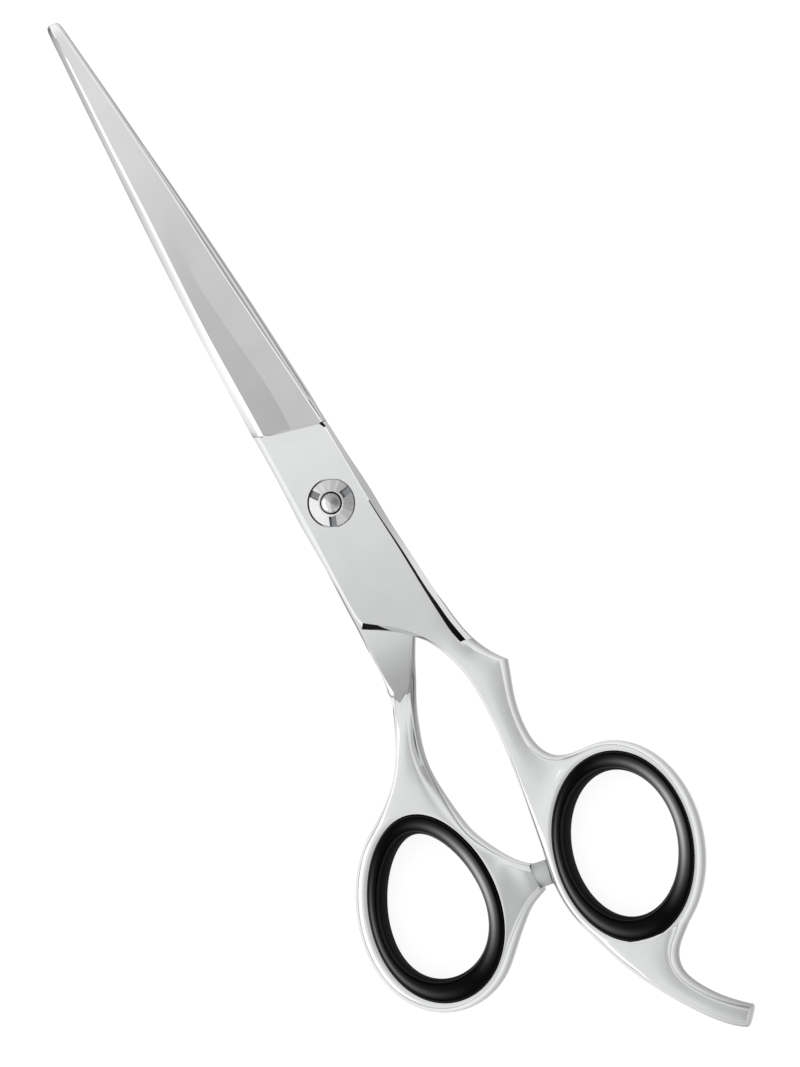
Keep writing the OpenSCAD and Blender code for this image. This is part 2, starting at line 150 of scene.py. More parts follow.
@dataclass(frozen=True)
class Steel:
    """Polished stainless steel: a clean mirror with the faint haze and drag lines of the buff."""

    name: str
    colour: str
    roughness: float
    haze: float = 0.03           # spread of the roughness over the surface
    line_mm: float = 0.35        # spacing of the buffing lines, drawn coarser than the real ones
    relief: float = 0.02         # strength of those lines
    wave_mm: float = 11.0        # length of the soft waves that hand buffing leaves
    wave: float = 0.05           # height of those waves
    painted_shade: PaintedShade | None = None

    def material(self) -> bpy.types.Material:
        """Builds the material.

        Returns:
            The finished material.
        """
        made = bpy.data.materials.new(self.name)
        tree, out = new_tree(made)
        place = add_node(tree, "ShaderNodeTexCoord")
        cloud = add_node(tree, "ShaderNodeTexNoise", values={"Scale": 1 / (6 * MM), "Detail": 3.0},
                         links={"Vector": place.outputs["Object"]})
        rough = add_node(tree, "ShaderNodeMapRange",
                         values={"To Min": self.roughness - self.haze,
                                 "To Max": self.roughness + self.haze},
                         links={"Value": cloud.outputs["Fac"]})
        drag = add_node(tree, "ShaderNodeMapping", values={"Scale": (1.0, 0.06, 1.0)},
                        links={"Vector": place.outputs["Object"]})
        lines = add_node(tree, "ShaderNodeTexNoise",
                         values={"Scale": 1 / (self.line_mm * MM), "Detail": 2.0},
                         links={"Vector": drag.outputs["Vector"]})
        waves = add_node(tree, "ShaderNodeTexNoise",
                         values={"Scale": 1 / (self.wave_mm * MM), "Detail": 0.0},
                         links={"Vector": place.outputs["Object"]})
        swell = add_node(tree, "ShaderNodeBump", values={"Distance": self.wave * MM},
                         links={"Height": waves.outputs["Fac"]})
        bump = add_node(tree, "ShaderNodeBump",
                        values={"Strength": self.relief, "Distance": 0.02 * MM},
                        links={"Height": lines.outputs["Fac"], "Normal": swell.outputs["Normal"]})
        tone = add_node(tree, "ShaderNodeValToRGB", links={"Fac": cloud.outputs["Fac"]})
        base = linear(self.colour)
        ramp(tone, [(0.35, tuple(0.96 * c for c in base[:3]) + (1.0,)), (0.65, base)])
        colour = self.painted_shading(tree, place.outputs["Object"], tone.outputs["Color"])
        shader = add_node(tree, "ShaderNodeBsdfPrincipled", values={"Metallic": 1.0},
                          links={"Base Color": colour,
                                 "Roughness": rough.outputs["Result"],
                                 "Normal": bump.outputs["Normal"]})
        tree.links.new(shader.outputs["BSDF"], out.inputs["Surface"])
        return made

    def painted_shading(self, tree: bpy.types.NodeTree, place: bpy.types.NodeSocket,
               colour: bpy.types.NodeSocket) -> bpy.types.NodeSocket:
        """Darkens a colour by the finish's painted shade.

        Args:
            tree: the node tree.
            place: the place on the object.
            colour: the colour to darken.

        Returns:
            The darkened colour.
        """
        if not self.painted_shade:
            return colour
        stops = self.painted_shade.stops
        first, length = stops[0][0], stops[-1][0] - stops[0][0]
        split = add_node(tree, "ShaderNodeSeparateXYZ", links={0: place})
        along = add_node(tree, "ShaderNodeMapRange",
                         values={"From Min": first * MM, "From Max": (first + length) * MM},
                         links={"Value": split.outputs[self.painted_shade.axis]})
        share = add_node(tree, "ShaderNodeValToRGB", links={"Fac": along.outputs["Result"]})
        share.color_ramp.interpolation = "EASE"
        ramp(share, [((at - first) / length, (tone, tone, tone, 1.0)) for at, tone in stops])
        scaled = add_node(tree, "ShaderNodeVectorMath", {"operation": "MULTIPLY"},
                          links={0: colour, 1: share.outputs["Color"]})
        return scaled.outputs["Vector"]


@dataclass(frozen=True)
class PaintedGlareSteel(Steel):
    """Steel faced on a lathe and plated, with painted reflection: streaks of light and grey run out from the
    axis, lightest towards one side.
    """

    streak: float = 0.6          # brightness of the greyest painted streak
    painted_glare_turn: float = 185.0        # direction of the brightest painted streak, in degrees

    def painted_shading(self, tree: bpy.types.NodeTree, place: bpy.types.NodeSocket,
               colour: bpy.types.NodeSocket) -> bpy.types.NodeSocket:
        """Darkens a colour in painted reflection streaks round the Z axis, lightest towards one side.

        Args:
            tree: the node tree.
            place: the place on the object.
            colour: the colour to darken.

        Returns:
            The streaked colour.
        """
        flat = add_node(tree, "ShaderNodeVectorMath", {"operation": "MULTIPLY"},
                        values={1: (1.0, 1.0, 0.0)}, links={0: place})
        round_about = add_node(tree, "ShaderNodeVectorMath", {"operation": "NORMALIZE"},
                               links={0: flat.outputs["Vector"]})
        rays = add_node(tree, "ShaderNodeTexNoise", values={"Scale": 2.3, "Detail": 3.0},
                        links={"Vector": round_about.outputs["Vector"]})
        # Painted reflection: the streaks brightest towards one side.
        turn = math.radians(self.painted_glare_turn)
        glare = add_node(tree, "ShaderNodeVectorMath", {"operation": "DOT_PRODUCT"},
                         values={1: (math.cos(turn), math.sin(turn), 0.0)},
                         links={0: round_about.outputs["Vector"]})
        both = add_node(tree, "ShaderNodeMath", {"operation": "MULTIPLY_ADD"}, values={1: 0.22},
                        links={0: glare.outputs["Value"], 2: rays.outputs["Fac"]})
        share = add_node(tree, "ShaderNodeMapRange",
                         values={"From Min": 0.3, "From Max": 0.64, "To Min": self.streak,
                                 "To Max": 1.0}, links={"Value": both.outputs["Value"]})
        scaled = add_node(tree, "ShaderNodeVectorMath", {"operation": "SCALE"},
                          links={0: colour, "Scale": share.outputs["Result"]})
        return scaled.outputs["Vector"]


@dataclass(frozen=True)
class Rubber:
    """Moulded elastomer: a deep, glossy colour with a soft bloom, a very fine mould texture and, where given,
    a painted highlight.
    """

    name: str
    colour: str
    worn: str
    roughness: float
    specular: float = 0.5
    milky: float = 0.0           # share of the light that goes in and spreads
    highlight_colour: str = ""             # colour of the painted highlight on the crown

    def material(self) -> bpy.types.Material:
        """Builds the material.

        Returns:
            The finished material.
        """
        made = bpy.data.materials.new(self.name)
        tree, out = new_tree(made)
        place = add_node(tree, "ShaderNodeTexCoord")
        cloud = add_node(tree, "ShaderNodeTexNoise", values={"Scale": 1 / (3 * MM), "Detail": 4.0},
                         links={"Vector": place.outputs["Object"]})
        tone = add_node(tree, "ShaderNodeValToRGB", links={"Fac": cloud.outputs["Fac"]})
        ramp(tone, [(0.4, linear(self.colour)), (0.75, linear(self.worn))])
        colour = tone.outputs["Color"]
        # Painted highlight: a lighter colour mixed in by the vertex layer.
        if self.highlight_colour:
            highlight_share = add_node(tree, "ShaderNodeAttribute", {"attribute_name": PAINTED_HIGHLIGHT})
            colour = add_node(tree, "ShaderNodeMix", {"data_type": "RGBA"},
                              values={7: linear(self.highlight_colour)},
                              links={0: highlight_share.outputs["Fac"], 6: colour}).outputs[2]
        rough = add_node(tree, "ShaderNodeMapRange",
                         values={"To Min": self.roughness - 0.04, "To Max": self.roughness + 0.05},
                         links={"Value": cloud.outputs["Fac"]})
        grain = add_node(tree, "ShaderNodeTexNoise", values={"Scale": 1 / (0.25 * MM)},
                         links={"Vector": place.outputs["Object"]})
        bump = add_node(tree, "ShaderNodeBump", values={"Strength": 0.03, "Distance": 0.02 * MM},
                        links={"Height": grain.outputs["Fac"]})
        shader = add_node(tree, "ShaderNodeBsdfPrincipled",
                          values={"Specular IOR Level": self.specular,
                                  "Subsurface Weight": self.milky,
                                  "Subsurface Scale": 1.5 * MM,
                                  "Subsurface Radius": (1.0, 1.0, 1.0)},
                          links={"Base Color": colour,
                                 "Roughness": rough.outputs["Result"],
                                 "Normal": bump.outputs["Normal"]})
        tree.links.new(shader.outputs["BSDF"], out.inputs["Surface"])
        return made


class Finishes:
    """The materials of the shears, each built once."""

    def __init__(self) -> None:
        """Builds all materials."""
        # Painted reflection: the blade face darker towards the heel.
        self.blade = Steel("polished_blade_steel", "#fafafa", 0.09,
                           painted_shade=PaintedShade(1, ((10.0, 0.73), (74.0, 1.0)))).material()
        # Painted shade: the flat round the pivot darker towards its lower end.
        self.flat = Steel("polished_pivot_flat", "#e8e9e9", 0.1,
                          painted_shade=PaintedShade(1, ((-29.0, 0.95), (-23.5, 0.79), (9.0, 1.0)))).material()
        # Painted shade: the handles darker near the mating plane, where the parting line lies in shade.
        shade_by_mate = PaintedShade(2, ((MATE - 2.4, 1.0), (MATE - 0.3, 0.34), (MATE + 0.3, 0.34), (MATE + 2.4, 1.0)))
        # Painted shade: the side walls greyer than the faces, and darker towards the heel.
        self.side = Steel("side_wall_painted_shade", "#d0d1d2", 0.16,
                          painted_shade=PaintedShade(1, ((-15.0, 1.0), (-4.0, 0.6), (13.0, 0.55)))).material()
        self.handle = Steel("buffed_cast_steel", "#e3e4e4", 0.11, painted_shade=shade_by_mate).material()
        # Painted shade: the rear half's mating face darkest at the V.
        self.ground = Steel("ground_mating_face", "#dfe0e0", 0.14,
                            painted_shade=PaintedShade(1, ((-42.0, 1.0), (-31.0, 0.52), (-29.0, 0.52),
                                          (-18.0, 1.0)))).material()
        self.bright = Steel("bright_cut_bevel", "#f1f1f1", 0.07).material()
        # Painted shade: black on the step walls, the wedge beside the flat, the heel notch and the dial's
        # groove, where they lie in shade.
        self.shade = Rubber("painted_shade_black", "#020202", "#040404", 0.6, 0.03).material()
        # Painted reflection: streaks round the dial, lightest towards one side.
        self.chrome = PaintedGlareSteel("chromed_dial", "#f0f0f0", 0.06, haze=0.015).material()
        # Painted shade: the key slots darker, where they lie in shade.
        self.slot = Steel("key_slot_painted_shade", "#8b8d90", 0.22).material()
        # Painted reflection: streaks round the bolt's domed end.
        self.bolt = PaintedGlareSteel("turned_bolt_steel", "#dfe0e0", 0.1, streak=0.4).material()
        # Painted highlight on the inserts' crowns, set by their vertex layer.
        self.insert = Rubber("moulded_black_elastomer", "#010101", "#030303", 0.25, 0.045,
                             highlight_colour="#c8c8c8").material()
        self.insert_wall = Rubber("matt_inner_wall", "#010101", "#030303", 0.6, 0.015).material()
        self.stop = Rubber("milky_silicone", "#babdbb", "#c6c9c7", 0.4, 0.3, 0.25).material()
        self.nylon = Rubber("natural_nylon", "#d8d5cb", "#e2dfd6", 0.4).material()
        self.spring = Steel("spring_steel", "#c9cbcc", 0.2).material()


# ------------------------------------------------------------------ control cages

def mix(a: float, b: float, f: float) -> float:
    """Blends two numbers; f = 0 gives a and f = 1 gives b."""
    return a + (b - a) * f


class Cage:
    """A control cage that is grown loop by loop and smoothed by a subdivision surface."""

    def __init__(self) -> None:
        """Starts an empty cage."""
        self.bm = bmesh.new()
        self.crease = self.bm.edges.layers.float.new("crease_edge")

    def loop(self, points: list[Vector]) -> list[bmesh.types.BMVert]:
        """Starts a tube with one closed loop.

        Args:
            points: the loop's points.

        Returns:
            The loop's vertices, in the points' order.
        """
        made = bmesh.ops.create_circle(self.bm, cap_ends=False, segments=len(points), radius=1)
        for vert, point in zip(made["verts"], points):
            vert.co = point
        return made["verts"]

    def edges_of(self, verts: list[bmesh.types.BMVert],
                 closed: bool = True) -> list[bmesh.types.BMEdge]:
        """Finds the edges along a row of vertices.

        Args:
            verts: the vertices, in order.
            closed: whether the last one joins the first.

        Returns:
            The edges.
        """
        after = verts[1:] + verts[:1] if closed else verts[1:]
        return [self.bm.edges.get(pair) for pair in zip(verts, after)]

    def grow(self, loop: list[bmesh.types.BMVert],
             points: list[Vector]) -> list[bmesh.types.BMVert]:
        """Extrudes a loop to its next place.

        Args:
            loop: the open end of a tube.
            points: where its new copies go.

        Returns:
            The new loop, in the same order.
        """
        out = bmesh.ops.extrude_edge_only(self.bm, edges=self.edges_of(loop))["geom"]
        fresh = {v for v in out if isinstance(v, bmesh.types.BMVert)}
        step = []
        for vert, point in zip(loop, points):
            new = next(e.other_vert(vert) for e in vert.link_edges if e.other_vert(vert) in fresh)
            new.co = point
            step.append(new)
        return step

    def join(self, first: list[bmesh.types.BMVert], second: list[bmesh.types.BMVert]) -> None:
        """Bridges two open loops of the same length."""
        bmesh.ops.bridge_loops(self.bm, edges=self.edges_of(first) + self.edges_of(second))

    def cap(self, loop: list[bmesh.types.BMVert]) -> None:
        """Closes the end of a tube with one face."""
        bmesh.ops.contextual_create(self.bm, geom=self.edges_of(loop))

    def sharpen(self, edges: list[bmesh.types.BMEdge], amount: float = 1.0) -> None:
        """Creases edges, and marks them sharp where the crease is full.

        Args:
            edges: the edges.
            amount: how hard the crease is, from 0 to 1.
        """
        for edge in edges:
            if edge is not None:
                edge[self.crease] = amount
                edge.smooth = amount < 0.85

    def faces_between(self, a: list[bmesh.types.BMVert], b: list[bmesh.types.BMVert],
                      columns: list[int]) -> list[bmesh.types.BMFace]:
        """Finds faces between two neighbouring loops.

        Args:
            a: one loop.
            b: the next loop.
            columns: the places in the loop where the wanted faces start.

        Returns:
            The faces.
        """
        found = []
        for i in columns:
            j = (i + 1) % len(a)
            corners = {a[i], a[j], b[i], b[j]}
            found += [f for f in a[i].link_faces if set(f.verts) == corners]
        return found

    def piece(self, name: str, materials: list[bpy.types.Material], levels: int) -> bpy.types.Object:
        """Turns the cage into an object in metres.

        Args:
            name: the object's name.
            materials: its materials, by face index.
            levels: the subdivision levels.

        Returns:
            The object, with its subdivision surface.
        """
        bmesh.ops.remove_doubles(self.bm, verts=self.bm.verts, dist=0.0005)
        bmesh.ops.recalc_face_normals(self.bm, faces=self.bm.faces)
        for face in self.bm.faces:
            face.smooth = True
        bmesh.ops.scale(self.bm, vec=(MM, MM, MM), verts=self.bm.verts)
        made = link_mesh(self.bm, name, materials)
        if levels:
            smooth = made.modifiers.new("smooth", "SUBSURF")
            smooth.levels = smooth.render_levels = levels
        return made


def link_mesh(bm: bmesh.types.BMesh, name: str,
              materials: list[bpy.types.Material]) -> bpy.types.Object:
    """Makes an object from a bmesh and frees it.

    Args:
        bm: the mesh, in metres.
        name: the object's name.
        materials: its materials, by face index.

    Returns:
        The object, linked to the scene.
    """
    mesh = bpy.data.meshes.new(name)
    bm.to_mesh(mesh)
    bm.free()
    made = bpy.data.objects.new(name, mesh)
    bpy.context.scene.collection.objects.link(made)
    for material in materials:
        mesh.materials.append(material)
    return made


# ------------------------------------------------------------------ rings

@dataclass(frozen=True)
class Egg:
    """An egg-shaped outline: width, length, how much wider its upper end is, and its lean."""

    centre: Point
    width: float
    length: float
    egg: float
    lean: float

    def at(self, turn: float) -> Vector:
        """Gives the point at an angle, in degrees from the egg's own right side."""
        t, lean = math.radians(turn), math.radians(-self.lean)
        x = self.width / 2 * math.cos(t) * (1 + self.egg * math.sin(t))
        y = self.length / 2 * math.sin(t)
        return Vector((self.centre[0] + x * math.cos(lean) - y * math.sin(lean),
                       self.centre[1] + x * math.sin(lean) + y * math.cos(lean)))


@dataclass(frozen=True)
class RingShape:
    """A handle ring: the seat of its soft insert, the metal outside it and the insert's hole."""

    centre: Point
    seat_w: float
    rim_w: float
    egg: float
    lean: float
    shift: Point
    hole_egg: float
    seat_l: float = 27.3
    rim_end_w: float = 2.1
    insert_w: float = 1.8
    insert_end_w: float = 2.75
    hole_shift: Point = (-0.3, 0.65)

    def moved(self, by: Point) -> Point:
        """Gives the centre moved by a step."""
        return self.centre[0] + by[0], self.centre[1] + by[1]

    @property
    def seat(self) -> Egg:
        """The seat's outline."""
        return Egg(self.centre, self.seat_w, self.seat_l, self.egg, self.lean)

    @property
    def rim(self) -> Egg:
        """The outside of the metal."""
        return Egg(self.moved(self.shift), self.seat_w + 2 * self.rim_w,
                   self.seat_l + 2 * self.rim_end_w, self.egg, self.lean)

    @property
    def hole(self) -> Egg:
        """The edge of the insert's hole."""
        return Egg(self.moved(self.hole_shift), self.seat_w - 2 * self.insert_w,
                   self.seat_l - 2 * self.insert_end_w, self.hole_egg, self.lean)


FINGER_RING = RingShape((11.7, -65.7), 20.4, 1.7, 0.01, 17, (-0.45, 0.3), 0.01)
THUMB_RING = RingShape((-17.7, -58.5), 19.1, 2.2, -0.1, 13, (-0.6, 0.5), -0.18)


@dataclass(frozen=True)
class Window:
    """Where a shank, tang or boss runs into a ring: a range of angles cut into columns."""

    start: float
    end: float
    columns: int


# Section of a ring's metal: share of the way from seat to rim, and height in half thicknesses.
RING_SECTION = [(0, 0.84), (0.28, 1.02), (0.72, 0.93), (0.99, 0.42)]


def grow_ring(cage: Cage, ring: RingShape, windows: list[Window],
              free: int = 34) -> list[list[bmesh.types.BMVert]]:
    """Builds a ring's metal and opens its windows.

    Args:
        cage: the cage that takes the ring.
        ring: its shape.
        windows: the openings, in order of angle.
        free: columns for a full turn where there is no window.

    Returns:
        One loop of vertices for each window, to be joined to a tube.
    """
    turns: list[float] = []
    spans: list[tuple[int, int]] = []
    for i, window in enumerate(windows):
        spans.append((len(turns), len(turns) + window.columns))
        turns += [mix(window.start, window.end, k / window.columns) for k in range(window.columns)]
        sense = math.copysign(360, window.end - window.start)
        after = windows[(i + 1) % len(windows)].start
        while (after - window.end) * sense <= 0:
            after += sense
        count = max(1, round((after - window.end) / sense * free))
        turns += [mix(window.end, after, k / count) for k in range(count)]
    half = RING_SECTION
    section = half + [(share, -height) for share, height in reversed(half)]
    inside = {k for low, high in spans for k in range(low + 1, high)}
    loops: list[list[bmesh.types.BMVert]] = []
    for i, turn in enumerate(turns):
        seat, rim = ring.seat.at(turn), ring.rim.at(turn)
        points = []
        for j, (share, height) in enumerate(section):
            if i in inside and j in (2, 5):
                share, height = 0.62, math.copysign(1.0, height)
            flat = seat.lerp(rim, share)
            points.append(Vector((flat.x, flat.y, MATE + height * FULL)))
        loops.append(cage.grow(loops[-1], points) if loops else cage.loop(points))
    cage.join(loops[-1], loops[0])
    for column in (0, 7):
        for a, b in zip(loops, loops[1:] + loops[:1]):
            cage.sharpen([cage.bm.edges.get((a[column], b[column]))])
    total = len(loops)
    doomed = []
    borders = []
    for low, high in spans:
        for k in range(low, high):
            doomed += cage.faces_between(loops[k], loops[(k + 1) % total], [2, 3, 4])
        row = [loops[k % total] for k in range(low, high + 1)]
        borders.append([r[2] for r in row] + [row[-1][3], row[-1][4]]
                       + [r[5] for r in reversed(row)] + [row[0][4], row[0][3]])
    bmesh.ops.delete(cage.bm, geom=doomed, context="FACES")
    return borders


# ------------------------------------------------------------------ the two halves

@dataclass(frozen=True)
class Cut:
    """One cut across a half, from its spine side to its edge side.

    The outer and inner faces are each given by a few marks: column, distance in from the nearer
    side, and height above the mating plane towards the outer face. Columns between two marks are
    spaced evenly and lifted by the crown.
    """

    spine: Point
    edge: Point
    outer: dict[int, Point]
    spine_side: tuple[Point, Point]
    edge_side: tuple[Point, Point]
    inner: dict[int, Point]
    crown: float = 0.0
    inner_crown: float = 0.0
    nudge: dict[int, Point] = field(default_factory=dict)    # shifts of points of the loop

    def across(self, marks: dict[int, Point], crown: float, last: int) -> list[Vector]:
        """Works out the points of one face, from the spine side to the edge side.

        Args:
            marks: the face's marks by column.
            crown: lift of the columns between marks.
            last: the highest column.

        Returns:
            The points, with heights above the mating plane.
        """
        spine, edge = Vector(self.spine), Vector(self.edge)
        width = (edge - spine).length
        share = {k: (d if k <= last / 2 else width - d) / width for k, (d, _) in marks.items()}
        keys = sorted(marks)
        points = []
        for k in range(last + 1):
            low = max(i for i in keys if i <= k)
            high = min(i for i in keys if i >= k)
            f = 0.0 if low == high else (k - low) / (high - low)
            u = mix(share[low], share[high], f)
            lift = crown * (1 - (2 * f - 1) ** 2) if high - low > 1 else 0.0
            flat = spine.lerp(edge, u)
            points.append(Vector((flat.x, flat.y, mix(marks[low][1], marks[high][1], f) + lift)))
        return points

    def side(self, at_edge: bool, marks: tuple[Point, Point]) -> list[Vector]:
        """Works out the two points of one side wall, from the outer face to the inner one."""
        spine, edge = Vector(self.spine), Vector(self.edge)
        inward = (spine - edge).normalized() if at_edge else (edge - spine).normalized()
        start = edge if at_edge else spine
        return [Vector((start.x + inward.x * d, start.y + inward.y * d, h)) for d, h in marks]

    def points(self, up: int, last: int = 8) -> list[Vector]:
        """Gives the whole loop in the frame's millimetres.

        Args:
            up: 1 for the half whose outer face looks up, -1 for the other one.
            last: the highest column of a face.

        Returns:
            The loop: outer face, edge side, inner face backwards, spine side.
        """
        row = (self.across(self.outer, self.crown, last) + self.side(True, self.edge_side)
               + list(reversed(self.across(self.inner, self.inner_crown, last)))
               + list(reversed(self.side(False, self.spine_side))))
        for i, (dx, dy) in self.nudge.items():
            row[i] += Vector((dx, dy, 0.0))
        return [Vector((p.x, p.y, MATE + up * p.z)) for p in row]


FLAT = {0: (0.0, GAP), 8: (0.0, GAP)}     # a mating face


@dataclass
class BladeBlank:
    """The forged part of a half: the blade and the flat round its pivot, spine towards -X."""

    # distance along, slant, spine, ridge, ridge land, edge, height at the ridge and at the edge
    blade_rows: tuple = (
        (82.42, 0, -0.62, -0.2, 0.1, 0.55, 0.75, 0.6),
        (82.1, 0, -0.92, -0.28, 0.12, 0.86, 1.0, 0.85),
        (81.2, 0, -1.04, -0.34, 0.15, 1.0, 1.2, 1.05),
        (79, 0, -1.2, -0.42, 0.2, 1.14, 1.3, 1.12),
        (76, 0, -1.4, -0.58, 0.25, 1.35, 1.38, 1.17),
        (71, 0, -1.8, -0.92, 0.3, 1.75, 1.48, 1.22),
        (66, 0, -2.16, -1.27, 0.34, 2.1, 1.58, 1.24),
        (61, 0, -2.48, -1.59, 0.38, 2.42, 1.68, 1.26),
        (56, 0, -2.87, -1.84, 0.4, 2.72, 1.76, 1.26),
        (51, 0, -3.24, -2.1, 0.42, 3.0, 1.86, 1.26),
        (46, 0, -3.58, -2.42, 0.42, 3.2, 1.94, 1.24),
        (41, 0, -3.88, -2.76, 0.42, 3.4, 2.02, 1.22),
        (36, 0, -4.15, -3.1, 0.44, 3.62, 2.1, 1.2),
        (31, 0.02, -4.42, -3.42, 0.5, 3.92, 2.18, 1.15),
        (26, 0.05, -4.62, -3.6, 0.56, 4.2, 2.26, 1.16),
        (21, 0.1, -4.8, -3.72, 0.6, 4.52, 2.34, 1.17),
        (17, 0.18, -4.95, -3.8, 0.62, 4.78, 2.4, 1.18),
        (14.2, 0.28, -5.02, -3.86, 0.64, 4.95, 2.44, 1.18),
        (12.8, 0.33, -5.06, -3.88, 0.64, 5.05, 2.46, 1.18))
    # distance along, slant, spine, edge of the flat, foot of the edge wall, edge of the flat, edge
    flat_rows: tuple = (
        (12.4, 0.33, -5.07, -3.78, 4.85, 5.38, 2.0, 5.42),
        (11.9, 0.3, -5.08, -3.8, 5.28, 5.4, 2.0, 5.44),
        (9.2, 0.16, -5.15, -3.93, 5.4, 5.42, 2.1, 5.47),
        (5.2, 0.0, -5.33, -4.11, 5.44, 5.46, 2.2, 5.56),
        (2.6, 0.0, -5.5, -4.2, 5.44, 5.46, 2.2, 5.63),
        (0.0, 0.0, -5.66, -4.28, 5.43, 5.45, 2.25, 5.82),
        (-2.6, 0.0, -5.67, -4.37, 5.46, 5.48, 2.2, 5.88),
        (-5.2, 0.0, -5.68, -4.48, 5.52, 5.54, 2.1, 5.93),
        (-8, 0.0, -5.69, -4.62, 5.66, 5.68, 1.85, 6.08),
        (-11, 0.0, -5.69, -4.79, 5.78, 5.8, 1.55, 6.26),
        (-14, 0.0, -5.69, -4.9, 5.82, 5.85, 1.3, 6.42))
    # distance along, place of the line between the two facets of the blade, its depth
    facet: tuple = ((12.8, 0.84, 0.32), (14.2, 0.83, 0.32), (17, 0.82, 0.31), (21, 0.73, 0.3),
                    (26, 0.28, 0.28), (31, -0.15, 0.25), (36, -0.37, 0.2), (41, -0.75, 0.1))
    spine_slope: float = 0.55
    edge_bevel: float = 0.17
    flank_foot: float = 1.3
    side: int = 1                # 1 for the finger half, -1 for the thumb half, which is turned over

    def place(self, x: float, y: float, slant: float) -> Point:
        """Turns a place on the blank into one on the half."""
        return self.side * x - OFFSET, y - slant * x

    def blade_cut(self, row: tuple) -> Cut:
        """Builds the cut of one blade row."""
        y, slant, spine, ridge, land, edge, high, low = row
        bevel, ridge_d = self.edge_bevel, ridge - spine
        thin = high - 0.13 - self.spine_slope * ridge_d
        outer = {0: (ridge_d, high - 0.13), 1: (ridge_d + land, high), 7: (bevel, low),
                 8: (0.0, low - 0.6 * bevel)}
        for at, line, depth in self.facet:
            if at == y:
                share = (line - ridge - land) / (edge - bevel - ridge - land)
                outer[4] = (line - spine, mix(high, low, share) - depth)
        return Cut(self.place(spine, y, slant), self.place(edge, y, slant), outer,
                   ((0.0, thin), (0.0, GAP)), ((0.0, 0.2), (0.0, GAP)), FLAT)

    def flat_cut(self, row: tuple) -> Cut:
        """Builds the cut of one row of the flat round the pivot."""
        y, slant, spine, left, right, foot, foot_h, edge = row
        outer = {0: (left - spine, THICK), 7: (edge - right, THICK), 8: (edge - foot, foot_h)}
        inner = dict(FLAT)
        if abs(y) < 5.3:
            outer |= {2: (-3.75 - spine, THICK), 6: (edge - 4.75, THICK)}
            inner |= {2: (-3.75 - spine, GAP), 6: (edge - 4.75, GAP)}
        return Cut(self.place(spine, y, slant), self.place(edge, y, slant), outer,
                   ((0.0, self.flank_foot), (0.0, GAP)), ((0.0, 0.15), (0.0, GAP)), inner)


